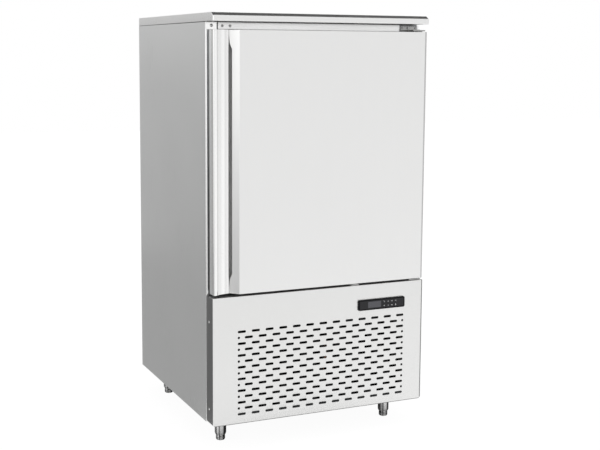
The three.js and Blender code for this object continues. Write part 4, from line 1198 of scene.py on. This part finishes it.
black_paint = moulded("black_paint", (0.028, 0.029, 0.032), 0.38, 420, 0.12)
motor = [
    (0, -0.0117), (0.004, -0.0117), (0.004, 0), (0.028, 0), (0.030, 0.0008), (0.0352, 0.0052),
    (0.036, 0.0065), (0.036, 0.018), (0.0352, 0.0188), (0.0352, 0.0262), (0.036, 0.027),
    (0.036, 0.0395), (0.0345, 0.0425), (0.031, 0.044), (0, 0.044),
]
strap_half, strap_front, strap_rear = 0.146, 0.1695, 0.220
for name, z in fan_heights.items():
    fan = f"evaporator_fan_{name}"
    bm = fan_wheel((0, 0.192, z), 0.118, 0.032, 0.010, 5, 0.0016)
    made(bm, f"air_fan_{name}", fan, black_plastic, [fan], angle=50)
    node = f"evaporator_motor_{name}"
    bm = turned(motor, (0, 0.214, z), axis=(0, 1, 0))
    made(bm, f"air_motor_{name}", "cabinet", black_paint, [node], angle=30)
    outline = [
        (-strap_half, strap_front), (-strap_half, strap_rear),
        (strap_half, strap_rear), (strap_half, strap_front),
    ]
    points = [(x, y, z - 0.011) for x, y in outline]
    bm = folded(points, (0, 0, 0.022), open_sides=(3,), ends=False)
    bend(bm, 0.002, 3)
    made(bm, f"air_motor_strap_{name}", "cabinet", black_paint, wall=0.002)

# ---------------------------------------- Evaporator coil and core-probe socket
# Thin aluminium fins pressed on copper tubes between two end plates. The black socket beside it
# takes the plug of the core probe.


# Mill-finish aluminium: scratched like the ground steel, but duller.
def dull_aluminium(name, colour, grain):
    return ground_steel(name, colour, 0.42, grain, 0.06)


# A block of fins about x, its two ends half away, between two depths and two heights.
def finned_block(x, half, y0, y1, z0, z1, fins):
    bm = bmesh.new()
    half_fin = 0.0003
    for i in range(fins + 1):
        at = x - half + i * 2 * half / fins
        block(bm, (at - half_fin, y0, z0), (at + half_fin, y1, z1))
    return bm


# Level tubes through such a block, every second row set half a step higher.
def coil_tubes(x, half, y0, y1, z0, z1, rows, step, bore):
    bm = bmesh.new()
    count = int((z1 - z0) / step)
    for r in range(rows):
        y = y0 + (y1 - y0) * (r + 0.5) / rows
        for i in range(count):
            z = z0 + (i + 0.5) * step + (0.25 if r % 2 else -0.25) * step
            rod(bm, (x, y, z), along_x, bore, 2 * half, 10)
    return bm


def end_plates(x, half, y0, y1, z0, z1):
    bm = bmesh.new()
    for way in (-1, 1):
        block(bm, (x + way * half, y0, z0), (x + way * (half + 0.002), y1, z1))
    bend(bm, 0.0005, 2)
    return bm


fin_aluminium = dull_aluminium("fin_aluminium", (0.70, 0.71, 0.72), (60, 260, 40))
copper = moulded("copper", (0.58, 0.31, 0.19), 0.3, 60, 0.02, metallic=1.0)
coil_front, coil_rear = 0.262, 0.345
bm = finned_block(0, 0.239, coil_front, coil_rear, 0.604, 1.345, 96)
made(bm, "cooling_fins", "cabinet", fin_aluminium, ["evaporator_coil"])
bm = coil_tubes(0, 0.2405, coil_front, coil_rear, 0.610, 1.340, 3, 0.0325, 0.005)
made(bm, "cooling_tubes", "cabinet", copper)
bm = end_plates(0, 0.240, coil_front - 0.002, coil_rear + 0.002, 0.600, 1.349)
made(bm, "cooling_end_plates", "cabinet", fin_aluminium)
socket = [
    (0, 0), (0.0045, 0), (0.0045, 0.004), (0.0055, 0.004), (0.0055, 0), (0.0062, 0), (0.0068, 0.0006),
    (0.0098, 0.003), (0.010, 0.0036), (0.010, 0.008), (0.0152, 0.0088), (0.016, 0.0096),
    (0.016, 0.0117), (0, 0.0117),
]
bm = turned(socket, (0, 0, 0), 32)
place = Matrix.Translation((0.3230, 0.148, 1.346)) @ along_x
bmesh.ops.transform(bm, matrix=place, verts=bm.verts)
made(bm, "core_probe_socket", "cabinet", black_plastic, ["probe_socket"], angle=30)

# ---------------------------------------- Base pan
# A shallow galvanised tray between the feet that carries the condensing unit. Its walls are
# folded up and the cable gland hangs through its floor.
# Painted shade: the zinc under the cabin is made five times darker than the back panel's, as the shade of
# that space.
shaded_inner_zinc = zinc_coat("shaded_inner_zinc", (0.10, 0.104, 0.107), 0.5)
bm = eased("base_pan", 0.0005, 2, 40)
made(bm, "unit_pan", "cabinet", shaded_inner_zinc, ["base_pan"])
gland = [
    (0, 0.069), (0.0072, 0.069), (0.008, 0.070), (0.0125, 0.0742), (0.013, 0.0752), (0.013, 0.085),
    (0.0172, 0.0858), (0.018, 0.087), (0.018, 0.0945), (0.010, 0.0947), (0.010, 0.099), (0, 0.099),
]
bm = turned(gland, (0.26, 0.35, 0), 24)
made(bm, "gland", "cabinet", black_plastic, ["cable_gland"], angle=30)

# ---------------------------------------- Condenser, shroud and fan
# The condenser stands behind the slotted panel, its fins and end plates painted near-black as the shade
# behind the slots. A black sheet shroud carries the guard and the motor, and the fan draws air through the
# fins.
condenser_x, condenser_fan_z = -0.14, 0.286
core_front, core_rear = -0.3135, -0.2555
shade_black_aluminium = moulded("shade_black_aluminium", (0.025, 0.0255, 0.0265), 0.6, 300, 0.1, metallic=0.5)
bm = finned_block(condenser_x, 0.186, core_front, core_rear, 0.118, 0.450, 124)
made(bm, "condenser_fins", "cabinet", shade_black_aluminium, ["condenser_coil"])
bm = coil_tubes(condenser_x, 0.1875, core_front, core_rear, 0.120, 0.448, 2, 0.025, 0.0048)
made(bm, "condenser_tubes", "cabinet", copper)
bm = end_plates(condenser_x, 0.187, core_front - 0.002, core_rear + 0.002, 0.114, 0.454)
made(bm, "condenser_end_plates", "cabinet", shade_black_aluminium)
bm = eased("condenser_shroud", 0.0004, 1, 50)
made(bm, "fan_shroud", "cabinet", black_paint, ["condenser_shroud"])
fan_aluminium = dull_aluminium("fan_aluminium", (0.68, 0.69, 0.70), (120, 120, 120))
bm = fan_wheel((condenser_x, -0.225, condenser_fan_z), 0.148, 0.036, 0.012, 5, 0.0016)
made(bm, "condenser_wheel", "condenser_fan", fan_aluminium, ["condenser_fan"], angle=50)
motor = [
    (0, -0.0184), (0.005, -0.0184), (0.005, 0), (0.048, 0), (0.048, 0.0042), (0.047, 0.005),
    (0.0408, 0.0078), (0.040, 0.0088), (0.040, 0.022), (0.0392, 0.0228), (0.0392, 0.046),
    (0.040, 0.0468), (0.040, 0.060), (0.0385, 0.0645), (0.034, 0.0688), (0.031, 0.070), (0, 0.070),
]
bm = turned(motor, (condenser_x, -0.1943, condenser_fan_z), axis=(0, 1, 0))
node = "condenser_motor"
made(bm, "condenser_motor_case", "cabinet", black_paint, [node], angle=30)

# ---------------------------------------- Compressor and receiver
# The hermetic compressor is two deep-drawn steel shells welded at the waist, on a plate with
# rubber grommets. The receiver is a welded bottle that stores the liquid from the condenser.
compressor_x, compressor_y = 0.215, 0.175
shell = [
    (0, 0.118), (0.050, 0.119), (0.070, 0.121), (0.083, 0.130), (0.090, 0.142), (0.093, 0.160),
    (0.095, 0.200), (0.095, 0.2545), (0.0985, 0.2560), (0.099, 0.2575), (0.099, 0.2645),
    (0.0985, 0.266), (0.095, 0.2672), (0.0935, 0.310), (0.091, 0.345), (0.086, 0.360),
    (0.076, 0.374), (0.060, 0.3845), (0.035, 0.390), (0, 0.392),
]
bm = turned(shell, (compressor_x, compressor_y, 0), 56)
block(bm, (0.103, 0.083, 0.116), (0.327, 0.267, 0.120))
bend(bm, 0.0012, 2, [e for e in bm.edges if e.calc_length() > 0.1])
block(bm, (0.186, 0.0635, 0.236), (0.244, 0.0975, 0.288))
made(bm, "compressor_shell", "cabinet", black_paint, ["compressor"], angle=32)
grommet = [
    (0, 0.0965), (0.0112, 0.0965), (0.012, 0.0973), (0.012, 0.1035), (0.0105, 0.105),
    (0.0105, 0.108), (0.012, 0.1095), (0.012, 0.1155), (0.0112, 0.116), (0, 0.116),
]
bm = bmesh.new()
for a, b in corners:
    join(bm, turned(grommet, (compressor_x + a * 0.095, compressor_y + b * 0.075, 0), 20))
made(bm, "compressor_grommets", "cabinet", rubber, angle=40)
bottle = [
    (0, 0.0965), (0.040, 0.0965), (0.042, 0.0985), (0.042, 0.111), (0.0445, 0.1135), (0.0485, 0.1148),
    (0.050, 0.118), (0.050, 0.298), (0.0485, 0.3085), (0.044, 0.317), (0.034, 0.3235),
    (0.020, 0.3275), (0, 0.330),
]
bm = turned(bottle, (0.30, -0.07, 0))
node = "liquid_receiver"
made(bm, "receiver_bottle", "cabinet", black_paint, [node], angle=30)


# A round copper tube bent through points: a bevelled curve turned into a mesh.
def bent_tube(name, route, radius, stands_for=()):
    line = bpy.data.curves.new(name, "CURVE")
    line.dimensions = "3D"
    line.bevel_depth = radius
    line.bevel_resolution = 3
    line.use_fill_caps = True
    line.resolution_u = 10
    path = line.splines.new("BEZIER")
    path.bezier_points.add(len(route) - 1)
    for point, place in zip(path.bezier_points, route):
        point.co = place
        point.handle_left_type = point.handle_right_type = "AUTO"
    drawn = bpy.data.objects.new(name, line)
    scene.collection.objects.link(drawn)
    mesh = bpy.data.meshes.new_from_object(drawn.evaluated_get(bpy.context.evaluated_depsgraph_get()))
    bpy.data.objects.remove(drawn)
    bm = bmesh.new()
    bm.from_mesh(mesh)
    bpy.data.meshes.remove(mesh)
    bmesh.ops.remove_doubles(bm, verts=bm.verts, dist=1e-6)
    bmesh.ops.holes_fill(bm, edges=[e for e in bm.edges if e.is_boundary])
    bmesh.ops.recalc_face_normals(bm, faces=bm.faces)
    made(bm, name, "cabinet", copper, stands_for, angle=50)


route = [
    (0.278, -0.070, 0.320), (0.240, -0.080, 0.345), (0.150, -0.130, 0.345), (0.090, -0.245, 0.250),
    (0.056, -0.268, 0.150),
]
bent_tube("receiver_inlet", route, 0.005)

# ---------------------------------------- Refrigerant lines
# Bare copper tube, bent by hand and brazed at the ends: the discharge line to the condenser,
# the suction line down from the evaporator, and the liquid line with its drier.
route = [
    (0.180, 0.170, 0.388), (0.178, 0.160, 0.425), (0.150, 0.060, 0.448), (0.095, -0.120, 0.448),
    (0.072, -0.240, 0.440), (0.066, -0.285, 0.420), (0.050, -0.285, 0.420),
]
bent_tube("hot_gas_tube", route, 0.005, ["discharge_line"])
route = [
    (0.262, 0.202, 0.384), (0.278, 0.222, 0.425), (0.294, 0.270, 0.455), (0.296, 0.306, 0.490),
    (0.296, 0.306, 0.560), (0.290, 0.306, 0.625), (0.243, 0.306, 0.640),
]
bent_tube("suction_tube", route, 0.007, ["suction_line"])
route = [
    (0.300, -0.070, 0.326), (0.300, -0.062, 0.365), (0.300, 0.040, 0.400), (0.240, 0.120, 0.425),
    (0.230, 0.180, 0.432), (0.246, 0.250, 0.440), (0.270, 0.284, 0.470), (0.271, 0.286, 0.520),
    (0.271, 0.286, 0.600), (0.268, 0.286, 0.672), (0.243, 0.286, 0.682),
]
bent_tube("liquid_tube", route, 0.004, ["liquid_line"])
half_drier = [(0, 0), (0.006, 0), (0.008, 0.0015), (0.0155, 0.0085), (0.017, 0.012)]
drier = half_drier + [(0.017, 0.060), (0.0155, 0.0635), (0.008, 0.0705), (0.006, 0.072), (0, 0.072)]
bm = turned(drier, (0, 0, 0), 28, axis=(0, 1, 0))
place = Matrix.Translation((0.300, -0.042, 0.370)) @ Matrix.Rotation(0.28, 4, "X")
bmesh.ops.transform(bm, matrix=place, verts=bm.verts)
made(bm, "drier", "cabinet", copper, angle=30)

# ---------------------------------------- Electrical box
# A folded galvanised box hung under the cabin for the relays and terminals, with a lapped lid
# held by four screws.
lid_front, box_top = -0.3095, 0.4997
bm = bmesh.new()
block(bm, (0.120, -0.3075, 0.388), (0.360, -0.2175, box_top))
block(bm, (0.117, lid_front, 0.384), (0.363, -0.2935, box_top))
bend(bm, 0.0014, 3)
# Painted shade: the box takes the darkened zinc of the space under the cabin.
made(bm, "relay_box", "cabinet", shaded_inner_zinc, ["electrical_box"])
spots = [(x, lid_front, z) for x in (0.127, 0.353) for z in (0.394, 0.490)]
screws("relay_box_screws", spots, forward, 0.0036, screw_steel)
